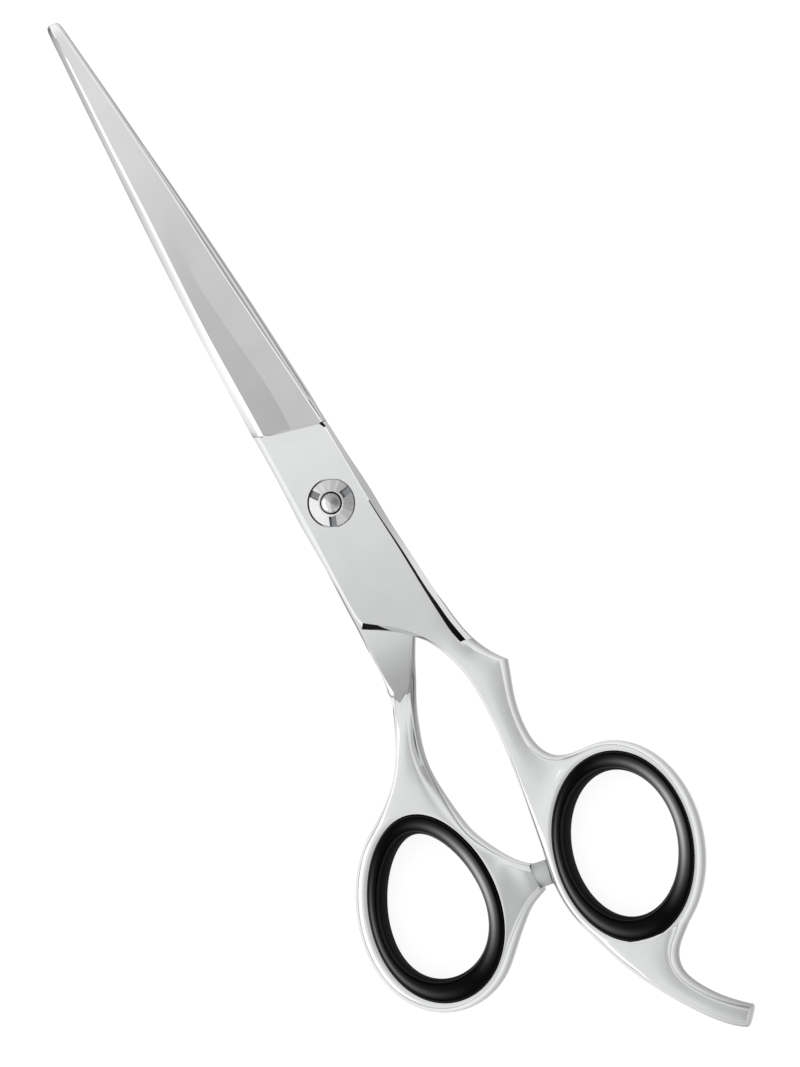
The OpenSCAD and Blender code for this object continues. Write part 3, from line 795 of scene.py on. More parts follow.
@dataclass
class Half:
    """One half of the shears: forged blade and cast handle, ground to one continuous surface."""

    name: str
    body: Body
    nodes: tuple[str, str]
    up: int
    ring: RingShape
    windows: list[Window]
    handle_cuts: list[Cut]
    bore: list[Point]            # radius and height of the pivot bore's steps, outer face first
    corners: tuple[int, ...] = ()        # rows of the handle that end in a crisp corner
    valleys: tuple[int, ...] = ()        # rows of the handle with a crisp line across the inner face

    def pivot_bore(self, cage: Cage, loops: list[list[bmesh.types.BMVert]], first: int) -> None:
        """Opens the bore for the pivot and lines it with its steps.

        Args:
            cage: the half's cage.
            loops: its loops.
            first: the first of the five loops round the pivot.
        """
        doomed, rims = [], []
        rows = loops[first:first + 5]
        for a, b in zip(rows, rows[1:]):
            doomed += cage.faces_between(a, b, [2, 3, 4, 5])
            doomed += cage.faces_between(a, b, [13, 14, 15, 16])
        for low, high in ((2, 6), (17, 13)):
            step = 1 if high > low else -1
            middle = rows[1:-1]
            rims.append([rows[0][k] for k in range(low, high + step, step)]
                        + [r[high] for r in middle]
                        + [rows[-1][k] for k in range(high, low - step, -step)]
                        + [r[low] for r in reversed(middle)])
        bmesh.ops.delete(cage.bm, geom=doomed, context="FACES_ONLY")
        stray = [v for r in rows[1:-1] for v in r if not v.link_faces]
        bmesh.ops.delete(cage.bm, geom=stray, context="VERTS")
        turns = [math.atan2(v.co.y, v.co.x) for v in rims[0]]
        sense = 1 if (turns[1] - turns[0]) % math.tau < math.pi else -1
        step = sense * math.tau / len(turns)
        wider = 3 / (2 + math.cos(step))      # the smoothed ring shrinks by this
        loop = rims[0]
        for radius, height in self.bore:
            points = [Vector((radius * wider * math.cos(turns[2] + (k - 2) * step),
                              radius * wider * math.sin(turns[2] + (k - 2) * step),
                              MATE + self.up * height)) for k in range(len(turns))]
            loop = cage.grow(loop, points)
            cage.sharpen(cage.edges_of(loop))
        cage.grow(loop, [v.co.copy() for v in rims[1]])

    def build(self, finishes: Finishes) -> bpy.types.Object:
        """Builds the half.

        Args:
            finishes: the materials.

        Returns:
            The object, riding on its body.
        """
        cage = Cage()
        blank = BladeBlank(side=self.up)
        cuts = ([blank.blade_cut(row) for row in blank.blade_rows]
                + [blank.flat_cut(row) for row in blank.flat_rows] + self.handle_cuts)
        loops = [cage.loop(cuts[0].points(self.up))]
        for cut in cuts[1:]:
            loops.append(cage.grow(loops[-1], cut.points(self.up)))
        cage.cap(loops[0])
        cage.sharpen(cage.edges_of(loops[0]), 0.6)
        blade_count, flat_end = len(blank.blade_rows), len(blank.blade_rows) + len(blank.flat_rows)
        last_hard = flat_end + 2
        for i, (a, b) in enumerate(zip(loops, loops[1:])):
            columns = [0, 20, 21] + [7, 8, 9]
            columns += [1] if i < blade_count else []
            columns += [4] if blade_count - len(blank.facet) <= i < blade_count else []
            if i >= last_hard:
                columns = [0, 8] if i > last_hard + 5 else [0, 7, 8]
                if i <= last_hard + 4:
                    columns += [10, 19]
            amount = min(1.0, 0.25 * (len(loops) - 1 - i)) if i >= last_hard else 1.0
            for k in columns:
                cage.sharpen([cage.bm.edges.get((a[k], b[k]))], amount)
            if self.valleys and i >= flat_end + 8:
                for k in (17, 19):
                    cage.sharpen([cage.bm.edges.get((a[k], b[k]))], 0.84 * amount)
        for i in (blade_count - 1, blade_count):
            cage.sharpen(cage.edges_of(loops[i][0:10], closed=False))
        for row in self.corners:
            cage.sharpen(cage.edges_of(loops[flat_end + row][7:12], closed=False))
        for row in self.valleys:
            cage.sharpen(cage.edges_of(loops[flat_end + row][12:19], closed=False), 0.9)
        corner = loops[flat_end + 1]
        cage.sharpen(cage.edges_of([corner[19], corner[20], corner[21], corner[0]], closed=False))
        # Face materials: the blade, flat, mating-face and side-wall materials carry painted shade along their
        # length.
        for i, (a, b) in enumerate(zip(loops, loops[1:])):
            if i < blade_count:
                for face in cage.faces_between(a, b, list(range(1, 7))):
                    face.material_index = 2
                for face in cage.faces_between(a, b, [0, 7]):
                    face.material_index = 4
            elif i < flat_end + 8:
                for face in cage.faces_between(a, b, list(range(0, 7))):
                    face.material_index = 5
            if i < flat_end + 8:
                for face in cage.faces_between(a, b, list(range(12 if i > flat_end + 3 else 10, 19))):
                    face.material_index = 3
            # Painted shade: the wall beside the flat takes the greyer side-wall material.
            if blade_count <= i < flat_end + 7:
                for face in cage.faces_between(a, b, [8]):
                    face.material_index = 6
            if self.valleys and flat_end + 4 <= i < flat_end + 12:
                for face in cage.faces_between(a, b, [10, 11] if i < flat_end + 8
                                               else list(range(11, 19))):
                    face.material_index = 5
        self.pivot_bore(cage, loops, blade_count + 3)
        # Painted shade: black faces on the step walls below the flat, in the heel notch and in the wedge
        # beside the flat, where they lie in shade.
        shaded = []
        shaded += cage.faces_between(loops[flat_end + 1], loops[flat_end + 2], [21])
        a, b = loops[flat_end + 2], loops[flat_end + 3]
        bmesh.ops.connect_verts(cage.bm, verts=[a[0], b[21]])
        shaded += [f for f in a[21].link_faces if set(f.verts) == {a[21], a[0], b[21]}]
        for i in [blade_count - 1, blade_count] + list(range(blade_count + 6, flat_end + 7)):
            shaded += cage.faces_between(loops[i], loops[i + 1], [7])
        # Painted shade: the wedge's tapering end takes the greyer side-wall material.
        a, b = loops[last_hard + 5], loops[last_hard + 6]
        bmesh.ops.connect_verts(cage.bm, verts=[a[7], b[8]])
        cage.sharpen([cage.bm.edges.get((a[7], b[8]))])
        for face in [f for f in a[8].link_faces if set(f.verts) == {a[7], a[8], b[8]}]:
            face.material_index = 6
        for face in shaded:
            face.material_index = 1
        borders = grow_ring(cage, self.ring, self.windows)
        cage.join(loops[-1], borders[0])
        self.finish_ring(cage, borders[1])
        piece = cage.piece(self.name, [finishes.handle, finishes.shade, finishes.blade,
                                       finishes.ground, finishes.bright, finishes.flat,
                                       finishes.side], 2)
        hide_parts(*self.nodes)
        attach(piece, self.body.value)
        return piece

    def finish_ring(self, cage: Cage, border: list[bmesh.types.BMVert]) -> None:
        """Adds the tang or the boss to the ring's second window."""
        raise NotImplementedError


def handle_cut(spine: Point, edge: Point, crease: tuple[Point, Point], inner: float,
               inner_crease: tuple[Point, Point] | None = None, waist: float = 1.0,
               crown: float = 0.12, ridge: Point | None = None) -> Cut:
    """Builds a cut across a handle where it has its full, rounded thickness.

    Args:
        spine: the side that continues the spine.
        edge: the other side.
        crease: distance in and height of the crease lines along both sides of the outer face.
        inner: height of the inner face above the mating plane, less than 0 past it.
        inner_crease: the same for the inner face, mirrored from the outer one if not given.
        waist: height where the sides are widest, above and below the middle.
        crown: lift of both faces between the creases.
        ridge: distance in and height of a second line on the inner face, by the spine side.

    Returns:
        The cut.
    """
    low, high = crease
    under = inner_crease or ((low[0], inner * low[1] / FULL), (high[0], inner * high[1] / FULL))
    bottom = -waist if inner < -1.5 else GAP + 0.25 * (inner - GAP)
    face = {0: under[0], 8: under[1]} | ({2: ridge} if ridge else {})
    return Cut(spine, edge, {0: low, 8: high}, ((0.0, waist), (0.0, bottom)),
               ((0.0, waist), (0.0, bottom)), face, crown,
               -crown if inner < -1.5 else 0.0)


def weld_cuts(side: int) -> list[Cut]:
    """Builds the cuts round the weld, which are the same on both halves, turned over.

    Args:
        side: 1 for the finger half, -1 for the thumb half.

    Returns:
        The cuts, from the blade side on.
    """
    rows = [((-5.69, -16.3), (6.5, -16.3), (0.75, THICK), (0.66, THICK), (0.62, 1.25), (0, 1.3), GAP, 0),
            ((-5.75, -17.85), (6.58, -18.1), (1.14, THICK), (0.7, THICK), (0.62, 1.25), (0, 0.7), GAP, 0.45),
            ((-3.9, -19.2), (6.72, -19.7), (0.95, THICK), (0.8, THICK), (0.62, 1.25), (0.05, 0.6), GAP, 0.42),
            ((-1.95, -20.6), (6.84, -21.0), (1.05, THICK), (0.9, THICK), (0.6, 1.25), (0.2, 1.3), GAP, 0.4)]
    cuts = []
    for spine, edge, left, right, foot, flank, under, ahead in rows:
        cuts.append(Cut((side * spine[0] - OFFSET, spine[1]), (side * edge[0] - OFFSET, edge[1]),
                        {0: left, 7: right, 8: foot}, (flank, (0.0, under)),
                        ((0.0, 0.15), (0.0, under)), FLAT, nudge={0: (0.0, ahead)}))
    return cuts


@dataclass
class FingerHalf(Half):
    """The front half, with the finger ring, the spur and the tang."""

    tang_rows: tuple = (
        ((-10.9, -10.6), (1.9, -14.2), 2.6), ((-9.9, -13.9), (0.1, -15.4), 2.55),
        ((-8.6, -17.1), (-1.5, -16.7), 2.45), ((-7.1, -20.2), (-2.35, -18.5), 2.35),
        ((-5.4, -23.2), (-2.2, -20.6), 2.2), ((-3.8, -25.8), (-1, -23.1), 2.08),
        ((-2, -28.4), (0.7, -25.7), 1.95), ((-0.2, -30.5), (2.5, -27.7), 1.8),
        ((1.35, -31.75), (3.9, -29.1), 1.66), ((1.7, -31.9), (4.2, -29.3), 1.6))

    def finish_ring(self, cage: Cage, border: list[bmesh.types.BMVert]) -> None:
        """Adds the tang."""
        cx, cy = self.ring.centre
        loops = []
        for left, right, height in self.tang_rows:
            cut = Cut((cx + left[0], cy + left[1]), (cx + right[0], cy + right[1]),
                      {0: (0.75, height * 0.95), 6: (1.05, height * 0.95)},
                      ((0.0, height * 0.4), (0.0, -height * 0.4)),
                      ((0.0, height * 0.4), (0.0, -height * 0.4)),
                      {0: (0.75, -height * 0.95), 6: (0.6, -height * 0.95)}, height * 0.05,
                      -height * 0.05)
            points = cut.points(1, last=6)
            loops.append(cage.grow(loops[-1], points) if loops else cage.loop(points))
        cage.cap(loops[-1])
        cage.sharpen(cage.edges_of(loops[-1]), 0.8)
        for a, b in zip(loops[2:], loops[3:]):
            cage.sharpen([cage.bm.edges.get((a[0], b[0])), cage.bm.edges.get((a[6], b[6]))], 0.7)
        cage.join(border, loops[0])


@dataclass
class ThumbHalf(Half):
    """The rear half, with the thumb ring and the boss for the bump stop."""

    boss_rows: tuple = (
        ((-5.35, -56.4), (-6.2, -65.85), 2.5), ((-4.0, -58.5), (-4.5, -65.2), 2.42),
        ((-2.85, -59.7), (-3.2, -64.85), 2.35), ((-2.2, -60.2), (-2.58, -64.65), 2.05))

    def finish_ring(self, cage: Cage, border: list[bmesh.types.BMVert]) -> None:
        """Adds the boss."""
        loops = []
        for upper, lower, height in self.boss_rows:
            cut = Cut(lower, upper, {0: (0.4, height * 0.8), 5: (1.35, height), 8: (0.3, height * 0.82)},
                      ((0.0, height * 0.4), (0.0, -height * 0.4)),
                      ((0.0, height * 0.3), (0.0, -height * 0.3)),
                      {0: (0.4, -height * 0.8), 5: (1.35, -height), 8: (0.3, -height * 0.82)})
            points = cut.points(1)
            loops.append(cage.grow(loops[-1], points) if loops else cage.loop(points))
        cage.cap(loops[-1])
        cage.sharpen(cage.edges_of(loops[-1]))
        for a, b in zip(loops, loops[1:]):
            for k in (5, 8, 10, 13):
                cage.sharpen([cage.bm.edges.get((a[k], b[k]))], 0.8)
        cage.join(border, loops[0])


def finger_half() -> FingerHalf:
    """Sets out the front half.

    Returns:
        The half, ready to build.
    """
    cuts = weld_cuts(1)
    rows = [((-0.6, -22.1), (6.52, -22.6), ((0.95, 2.66), (0.95, 2.66)), (0.62, 1.3), GAP),
            ((0.75, -23.7), (6.7, -24.2), ((0.9, 2.62), (1.1, 2.64)), (0.62, 1.3), GAP),
            ((1.75, -25.3), (6.98, -25.9), ((0.85, 2.58), (1.25, 2.62)), (0.6, 1.35), GAP),
            ((2.6, -27.2), (7.4, -27.6), ((0.85, 2.5), (1.3, 2.54)), (0.65, 1.6), -1.0)]
    for spine, edge, crease, foot, inner in rows:
        cuts.append(Cut(spine, edge, {0: crease[0], 7: crease[1], 8: foot},
                        ((0.12, 1.6), (0.0, 0.35)), ((0.0, 0.25), (0.0, GAP + 0.02)),
                        {0: (0.1, min(inner, GAP)), 8: (0.1, min(inner, GAP))}, 0.06))
    full = [((3.2, -29.2), (8.15, -29.5), 0.85, 0.95, -1.7),
            ((3.6, -31.0), (9.05, -31.2), 0.85, 0.85, -2.2),
            ((3.8, -32.8), (10.3, -32.9), 0.85, 0.7, -2.5),
            ((3.87, -34.4), (9.65, -34.5), 0.85, 0.55, -2.6),
            ((3.85, -36.3), (8.85, -36.3), 0.85, 0.45, -2.6),
            ((3.75, -38.5), (7.98, -38.5), 0.85, 0.35, -2.6),
            ((3.55, -41.2), (7.38, -41.2), 0.85, 0.35, -2.6),
            ((3.2, -43.8), (7.2, -43.8), 0.9, 0.45, -2.6),
            ((2.85, -46.1), (7.5, -46.1), 0.95, 0.75, -2.6),
            ((2.45, -48.6), (8.5, -48.1), 0.95, 1.1, -2.6),
            ((1.95, -51.4), (9.9, -49.15), 0.85, 1.25, -2.6),
            ((1.35, -54.6), (11.3, -49.6), 0.8, 1.15, -2.6)]
    for spine, edge, left, right, inner in full:
        cuts.append(handle_cut(spine, edge, ((left, 2.3), (right, 2.1)), inner))
    return FingerHalf("finger_half_steel", Body.FINGER, ("finger_blade", "finger_handle"), 1,
                      FINGER_RING, [Window(180, 104, 8), Window(302, 228, 6)], cuts,
                      [(3.65, THICK), (3.65, 1.2), (2.52, 1.2), (2.52, GAP)], corners=(10,))


# Shifts that turn the end of the rear half's mating face into a V, from the left side on.
VEE = [(0.2, 0.8), (0.46, 1.49), (0.17, 0.91), (-0.08, 0.23), (-0.02, 0.42), (0.04, 0.58),
       (0.1, 0.78), (0.05, 1.0), (0.12, 1.15)]


def thumb_half() -> ThumbHalf:
    """Sets out the rear half.

    Returns:
        The half, ready to build.
    """
    cuts = weld_cuts(-1)
    rows = [((0.1, -22.4), (-7.33, -23.2), GAP, (0.24, 0.1)),
            ((-1.2, -24.4), (-7.47, -25.0), GAP, (0.3, 0.12)),
            ((-2.35, -26.3), (-7.75, -26.8), 0.0, (0.62, 0.3)),
            ((-3.25, -28.1), (-8.12, -28.5), -0.12, (1.1, 0.55))]
    for spine, edge, inner, (land, bevel) in rows:
        cuts.append(Cut(spine, edge, {0: (0.9, 2.62), 7: (1.0, 2.62), 8: (0.62, 0.9)},
                        ((0.12, 1.6), (0.0, 0.5)), ((0.0, 0.6), (0.0, 0.35)),
                        {0: (0.35, GAP), 1: (0.75, inner), 7: (land, inner), 8: (bevel, 0.08)}, 0.06))
    full = [((-4.45, -30.1), (-8.7, -30.5), 0.7, 0.8, -0.8),
            ((-5.55, -32.3), (-9.6, -32.7), 0.7, 0.8, -1.9),
            ((-6.5, -34.6), (-10.8, -35.1), 0.75, 0.8, -2.4),
            ((-7.42, -37.0), (-12.3, -37.4), 0.85, 0.85, -2.6),
            ((-8.0, -39.6), (-14.3, -39.7), 1.1, 0.9, -2.6),
            ((-8.25, -42.3), (-16.6, -41.4), 1.2, 0.9, -2.6)]
    for spine, edge, right, left, inner in full:
        cuts.append(handle_cut(spine, edge, ((right, 2.3), (left, 2.3)), inner,
                               ((0.42, 0.42 * inner), (left, 0.88 * inner)),
                               ridge=(1.4, 0.88 * inner)))
    cuts[8] = replace(cuts[8], nudge=dict(zip(range(11, 20), VEE)))
    return ThumbHalf("thumb_half_steel", Body.THUMB, ("thumb_blade", "thumb_handle"), -1,
                     THUMB_RING, [Window(40, 114, 8), Window(322, 390, 8)], cuts,
                     [(2.5, THICK), (2.5, GAP)], valleys=(8,))


# ------------------------------------------------------------------ soft inserts and stop

@dataclass
class RingInsert:
    """A soft insert snapped into a ring, with lips over the edges of the metal."""

    name: str
    node: str
    body: Body
    ring: RingShape
    lip: float = 0.35
    columns: int = 44
    # distance outside the seat, share of the way to the hole, height above the middle
    band: tuple = ((-0.03, 0.0, 2.2), (0.35, 0.0, 2.62), (0.34, 0.0, 2.95), (0.05, 0.02, 3.26),
                   (0.0, 0.22, 3.38), (0.0, 0.46, 3.34), (0.0, 0.7, 3.02), (0.0, 0.89, 2.3),
                   (0.0, 0.99, 1.3), (0.0, 1.02, 0.4))
    # Shares of the painted highlight by column, on the insert's right and left sides.
    highlight_right: dict = field(default_factory=lambda: {4: 0.22, 5: 1.0, 6: 0.22})
    highlight_left: dict = field(default_factory=lambda: {4: 0.3, 5: 0.05})

    def build(self, finishes: Finishes) -> bpy.types.Object:
        """Builds the insert.

        Args:
            finishes: the materials.

        Returns:
            The object, riding on its body.
        """
        cage = Cage()
        highlight_share = cage.bm.verts.layers.float.new(PAINTED_HIGHLIGHT)
        band = list(self.band) + [(out, share, -h) for out, share, h in reversed(self.band)]
        loops: list[list[bmesh.types.BMVert]] = []
        for i in range(self.columns):
            turn = 360 * i / self.columns
            hole = self.ring.hole.at(turn)
            points = []
            for out, share, height in band:
                wider = Egg(self.ring.centre, self.ring.seat_w + 2 * out,
                            self.ring.seat_l + 2 * out, self.ring.egg, self.ring.lean)
                flat = wider.at(turn).lerp(hole, share)
                points.append(Vector((flat.x, flat.y, MATE + height)))
            loops.append(cage.grow(loops[-1], points) if loops else cage.loop(points))
            # Painted highlight: strongest on the right side of the ring, faint on the left.
            across = (hole - Vector(self.ring.centre)).normalized().x
            for k, share in (self.highlight_right if across > 0 else self.highlight_left).items():
                loops[-1][k][highlight_share] = share * abs(across) ** 2.2
        cage.join(loops[-1], loops[0])
        for a, b in zip(loops, loops[1:] + loops[:1]):
            for face in cage.faces_between(a, b, [7, 8, 9, 10, 11]):
                face.material_index = 1
        piece = cage.piece(self.name, [finishes.insert, finishes.insert_wall], 2)
        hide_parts(self.node)
        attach(piece, self.body.value)
        return piece


@dataclass
class BumpStop:
    """The soft stop in the boss, which meets the finger ring when the blades close."""

    diameter: float = 3.7
    length: float = 2.25
    stem_d: float = 2.0
    stem_l: float = 3.0
    round: float = 0.08
    follow: float = 0.4          # how far its top leans out over the ring's rounded edge

    def build(self, finishes: Finishes) -> bpy.types.Object:
        """Builds the stop.

        Args:
            finishes: the materials.

        Returns:
            The object, riding on the thumb half.
        """
        rim, turn = FINGER_RING.rim, 183
        at = rim.at(turn)
        along = rim.at(turn + 1) - rim.at(turn - 1)
        out = Vector((along.y, -along.x, 0)).normalized()
        if out.x > 0:
            out = -out
        r, s, b = self.diameter / 2, self.stem_d / 2, self.round
        start = 0.03
        profile = [(0, start), (r - b, start), (r, start + b), (r, start + self.length - b / 2),
                   (r - b / 2, start + self.length), (s, start + self.length),
                   (s, start + self.length + self.stem_l), (0, start + self.length + self.stem_l)]
        bm = spun(profile, 48)
        turn_to = Vector((0, 0, 1)).rotation_difference(out).to_matrix().to_4x4()
        place = Matrix.Translation((at.x, at.y, MATE)) @ turn_to
        bmesh.ops.transform(bm, matrix=place, verts=bm.verts)
        for vert in bm.verts:
            if (vert.co - Vector((at.x, at.y, MATE))).dot(out) < start + 2 * b and vert.co.z > MATE:
                vert.co -= out * self.follow * ((vert.co.z - MATE) / r) ** 2
        piece = finish_turned(bm, "bump_stop_soft", finishes.stop)
        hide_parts("bump_stop")
        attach(piece, Body.THUMB.value)
        return piece


# ------------------------------------------------------------------ pivot

def spun(profile: list[Point], steps: int) -> bmesh.types.BMesh:
    """Spins a profile of radius and height round the Z axis.

    Args:
        profile: the points, from one end to the other.
        steps: the number of steps in the full turn.

    Returns:
        The closed shape, in millimetres.
    """
    bm = bmesh.new()
    verts = [bm.verts.new((r, 0, z)) for r, z in profile]
    edges = [bm.edges.new(pair) for pair in zip(verts, verts[1:])]
    bmesh.ops.spin(bm, geom=verts + edges, cent=(0, 0, 0), axis=(0, 0, 1), angle=math.tau,
                   steps=steps, use_merge=True)
    bmesh.ops.remove_doubles(bm, verts=bm.verts, dist=0.0005)
    bmesh.ops.recalc_face_normals(bm, faces=bm.faces)
    return bm


def finish_turned(bm: bmesh.types.BMesh, name: str,
                  *materials: bpy.types.Material) -> bpy.types.Object:
    """Turns a bmesh in millimetres into a shaded object.

    Args:
        bm: the shape.
        name: the object's name.
        materials: its materials, by face index.

    Returns:
        The object.
    """
    bmesh.ops.recalc_face_normals(bm, faces=bm.faces)
    for face in bm.faces:
        face.smooth = True
    bmesh.ops.scale(bm, vec=(MM, MM, MM), verts=bm.verts)
    made = link_mesh(bm, name, list(materials))
    made.data.set_sharp_from_angle(angle=math.radians(32))
    return made


@dataclass
class Pivot:
    """The bolt with its domed end and the tension dial with its three key slots."""

    slot_turns: tuple[float, ...] = (5, 125, 244)
    slot_w: float = 1.1
    slot_depth: float = 0.5

    def bolt(self, finishes: Finishes) -> bpy.types.Object:
        """Builds the bolt, head down.

        Args:
            finishes: the materials.

        Returns:
            The object, riding on the thumb half.
        """
        profile = [(0, 0.12), (0.5, 0.12), (0.62, 0.0), (3.62, 0.0), (3.86, 0.06), (4.0, 0.2),
                   (4.0, 0.7), (2.48, 0.7), (2.48, 3.36), (1.8, 3.36), (1.8, 4.95), (1.5, 5.0),
                   (1.5, 6.24), (1.44, 6.38), (1.28, 6.5), (1.0, 6.61), (0.65, 6.68), (0.3, 6.715),
                   (0, 6.72)]
        piece = finish_turned(spun(profile, 96), "pivot_bolt_turned", finishes.bolt)
        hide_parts("pivot_bolt")
        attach(piece, Body.THUMB.value)
        return piece

    def dial(self, finishes: Finishes) -> bpy.types.Object:
        """Builds the tension dial.

        Args:
            finishes: the materials.

        Returns:
            The object, riding on its own body.
        """
        profile = [(1.56, 5.25), (3.42, 5.25), (3.49, 5.32), (3.49, 5.9), (3.42, 5.98), (3.3, 6.0),
                   (2.6, 6.13), (2.0, 6.22), (1.78, 6.24), (1.69, 6.21), (1.65, 6.12), (1.62, 5.7),
                   (1.56, 5.66), (1.56, 5.25)]
        bm = spun(profile, 96)
        # Painted shade: the groove round the bolt takes the black material.
        for face in bm.faces:
            at = face.calc_center_median()
            if at.xy.length < 1.68 and at.z < 6.18:
                face.material_index = 2
        for turn in self.slot_turns:
            angle = math.radians(turn)
            along = Vector((math.cos(angle), math.sin(angle), 0))
            across = Vector((-along.y, along.x, 0))
            for sign in (-1, 1):
                near = [f for f in bm.faces if f.calc_center_median().dot(along) > 0]
                geom = near + list({e for f in near for e in f.edges}) \
                    + list({v for f in near for v in f.verts})
                bmesh.ops.bisect_plane(bm, geom=geom, dist=0.0001,
                                       plane_co=across * sign * self.slot_w / 2, plane_no=across)
            inside = [f for f in bm.faces
                      if abs(f.calc_center_median().dot(across)) < self.slot_w / 2
                      and f.calc_center_median().dot(along) > 1.95 and f.normal.z > 0.5]
            out = bmesh.ops.extrude_face_region(bm, geom=inside)["geom"]
            bmesh.ops.delete(bm, geom=inside, context="FACES")
            moved = [v for v in out if isinstance(v, bmesh.types.BMVert)]
            for vert in moved:
                vert.co.z = 6.0 - self.slot_depth
            # Painted shade: the slots' walls and floors take the darker key-slot material.
            for face in {f for v in moved for f in v.link_faces}:
                face.material_index = 1
        piece = finish_turned(bm, "tension_dial_chromed", finishes.chrome, finishes.slot,
                              finishes.shade)
        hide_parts("tension_dial")
        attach(piece, Body.DIAL.value)
        return piece


# ------------------------------------------------------------------ studio

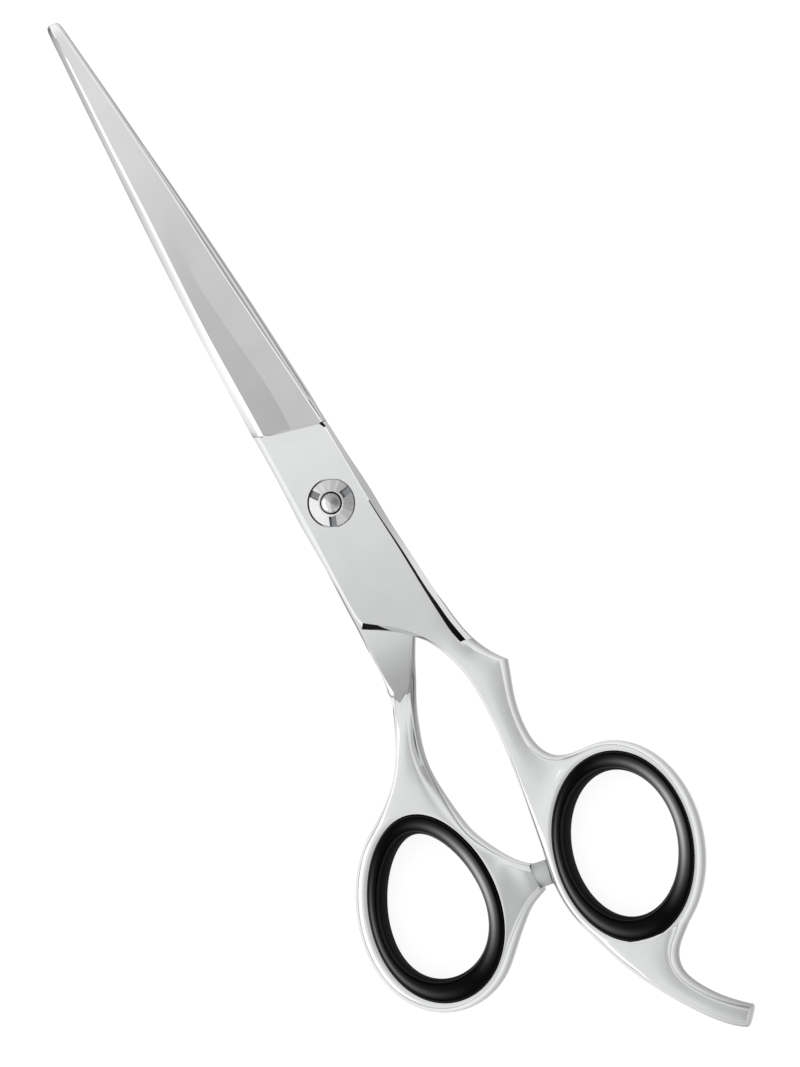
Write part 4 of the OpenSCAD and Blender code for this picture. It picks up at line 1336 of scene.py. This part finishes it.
@dataclass
class Studio:
    """The floor, the light and the camera."""

    aim: Vector = field(default_factory=lambda: Vector((5.904, -8.853, 3.4)) * MM)
    right: Vector = field(default_factory=lambda: Vector((0.81726, -0.50135, -0.28415)))
    above: Vector = field(default_factory=lambda: Vector((0.52208, 0.85289, -0.00325)))
    towards: Vector = field(default_factory=lambda: Vector((0.24398, -0.14569, 0.95877)))
    distance: float = 4.0
    frame_height: float = 0.15568

    def camera(self) -> None:
        """Places the camera."""
        data = bpy.data.cameras.new("camera")
        data.sensor_width = 36
        data.lens = 36 * self.distance / self.frame_height
        data.clip_start, data.clip_end = 0.05, 20
        made = bpy.data.objects.new("camera", data)
        turn = Matrix((self.right, self.above, self.towards)).transposed().to_4x4()
        made.matrix_world = Matrix.Translation(self.aim + self.towards * self.distance) @ turn
        bpy.context.scene.collection.objects.link(made)
        bpy.context.scene.camera = made

    def floor(self) -> None:
        """Lays the white floor, which keeps the shears' soft shadow."""
        bm = bmesh.new()
        bmesh.ops.create_circle(bm, cap_ends=True, segments=96, radius=3.0)
        bmesh.ops.translate(bm, verts=bm.verts, vec=(0, 0, -0.02 * MM))
        material = bpy.data.materials.new("white_sweep")
        tree, out = new_tree(material)
        path = add_node(tree, "ShaderNodeLightPath")
        seen = add_node(tree, "ShaderNodeMath", {"operation": "MAXIMUM"},
                        links={0: path.outputs["Is Camera Ray"], 1: path.outputs["Is Glossy Ray"]})
        seen = add_node(tree, "ShaderNodeMath", {"operation": "MAXIMUM"},
                        links={0: seen.outputs[0], 1: path.outputs["Is Transmission Ray"]})
        dull = add_node(tree, "ShaderNodeBsdfDiffuse", values={"Color": linear("#e8e8e8")})
        pale = add_node(tree, "ShaderNodeBsdfDiffuse", values={"Color": (0.36, 0.36, 0.36, 1)})
        glow = add_node(tree, "ShaderNodeEmission", values={"Strength": 0.84})
        white = add_node(tree, "ShaderNodeAddShader",
                         links={0: pale.outputs[0], 1: glow.outputs[0]})
        shader = add_node(tree, "ShaderNodeMixShader",
                          links={0: seen.outputs[0], 1: dull.outputs[0], 2: white.outputs[0]})
        tree.links.new(shader.outputs[0], out.inputs["Surface"])
        link_mesh(bm, "floor", [material])

    def light(self) -> None:
        """Sets up the plain soft light: a pale tent with a duller panel overhead."""
        world = bpy.data.worlds.new("tent")
        bpy.context.scene.world = world
        world.use_nodes = True
        tree = world.node_tree
        tree.nodes.clear()
        out = tree.nodes.new("ShaderNodeOutputWorld")
        place = add_node(tree, "ShaderNodeTexCoord")
        panel = add_node(tree, "ShaderNodeVectorMath", {"operation": "DOT_PRODUCT"},
                         values={1: tuple(self.towards)}, links={0: place.outputs["Generated"]})
        overhead = add_node(tree, "ShaderNodeValToRGB", links={"Fac": panel.outputs["Value"]})
        ramp(overhead, [(0.0, (0.95,) * 3 + (1,)), (0.7, (1.0,) * 3 + (1,)),
                        (0.845, (0.92,) * 3 + (1,)), (0.9, (0.76,) * 3 + (1,)),
                        (0.97, (0.62,) * 3 + (1,))])
        split = add_node(tree, "ShaderNodeSeparateXYZ", links={0: place.outputs["Generated"]})
        height = add_node(tree, "ShaderNodeValToRGB", links={"Fac": split.outputs["Z"]})
        ramp(height, [(0.0, (0.5,) * 3 + (1,)), (0.08, (0.54,) * 3 + (1,)),
                      (0.3, (0.95,) * 3 + (1,)), (0.6, (1.0,) * 3 + (1,))])
        shade = add_node(tree, "ShaderNodeMix", {"data_type": "RGBA", "blend_type": "MULTIPLY"},
                         values={0: 1.0}, links={6: overhead.outputs[0], 7: height.outputs[0]})
        path = add_node(tree, "ShaderNodeLightPath")
        tent = add_node(tree, "ShaderNodeBackground", links={"Color": shade.outputs[2]})
        white = add_node(tree, "ShaderNodeBackground", values={"Color": (1, 1, 1, 1)})
        both = add_node(tree, "ShaderNodeMixShader",
                        links={0: path.outputs["Is Camera Ray"], 1: tent.outputs[0],
                               2: white.outputs[0]})
        tree.links.new(both.outputs[0], out.inputs["Surface"])
        data = bpy.data.lights.new("softbox", "AREA")
        data.shape, data.size, data.size_y, data.energy = "RECTANGLE", 1.2, 0.8, 1.7
        lamp = bpy.data.objects.new("softbox", data)
        direction = Vector((-0.8, 0.24, 0.58)).normalized()
        lamp.location = direction * 1.2
        lamp.rotation_mode = "QUATERNION"
        lamp.rotation_quaternion = direction.to_track_quat("Z", "Y")
        bpy.context.scene.collection.objects.link(lamp)

    def build(self) -> None:
        """Builds the whole studio."""
        self.camera()
        self.floor()
        self.light()
        bpy.context.scene.view_settings.view_transform = "Standard"


def dress(node: str, material: bpy.types.Material) -> None:
    """Gives a CAD node that stays a better material."""
    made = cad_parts[node]
    for i in range(max(1, len(made.material_slots))):
        if i < len(made.material_slots):
            made.material_slots[i].material = material
        else:
            made.data.materials.append(material)


def main() -> None:
    """Builds every piece in order."""
    logging.basicConfig(level=logging.INFO, format="%(name)s: %(message)s")
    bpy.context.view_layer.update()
    finishes = Finishes()
    pivot = Pivot()
    pieces = [finger_half().build(finishes), thumb_half().build(finishes),
              RingInsert("finger_insert_soft", "finger_ring_insert", Body.FINGER,
                         FINGER_RING).build(finishes),
              RingInsert("thumb_insert_soft", "thumb_ring_insert", Body.THUMB,
                         THUMB_RING).build(finishes),
              BumpStop().build(finishes), pivot.bolt(finishes), pivot.dial(finishes)]
    for piece in pieces:
        log.info("%s: %d faces", piece.name, len(piece.data.polygons))
    dress("spring_washer", finishes.spring)
    dress("thrust_washer", finishes.nylon)
    dress("pivot_bush", finishes.nylon)
    Studio().build()


if __name__ == "__main__":
    main()
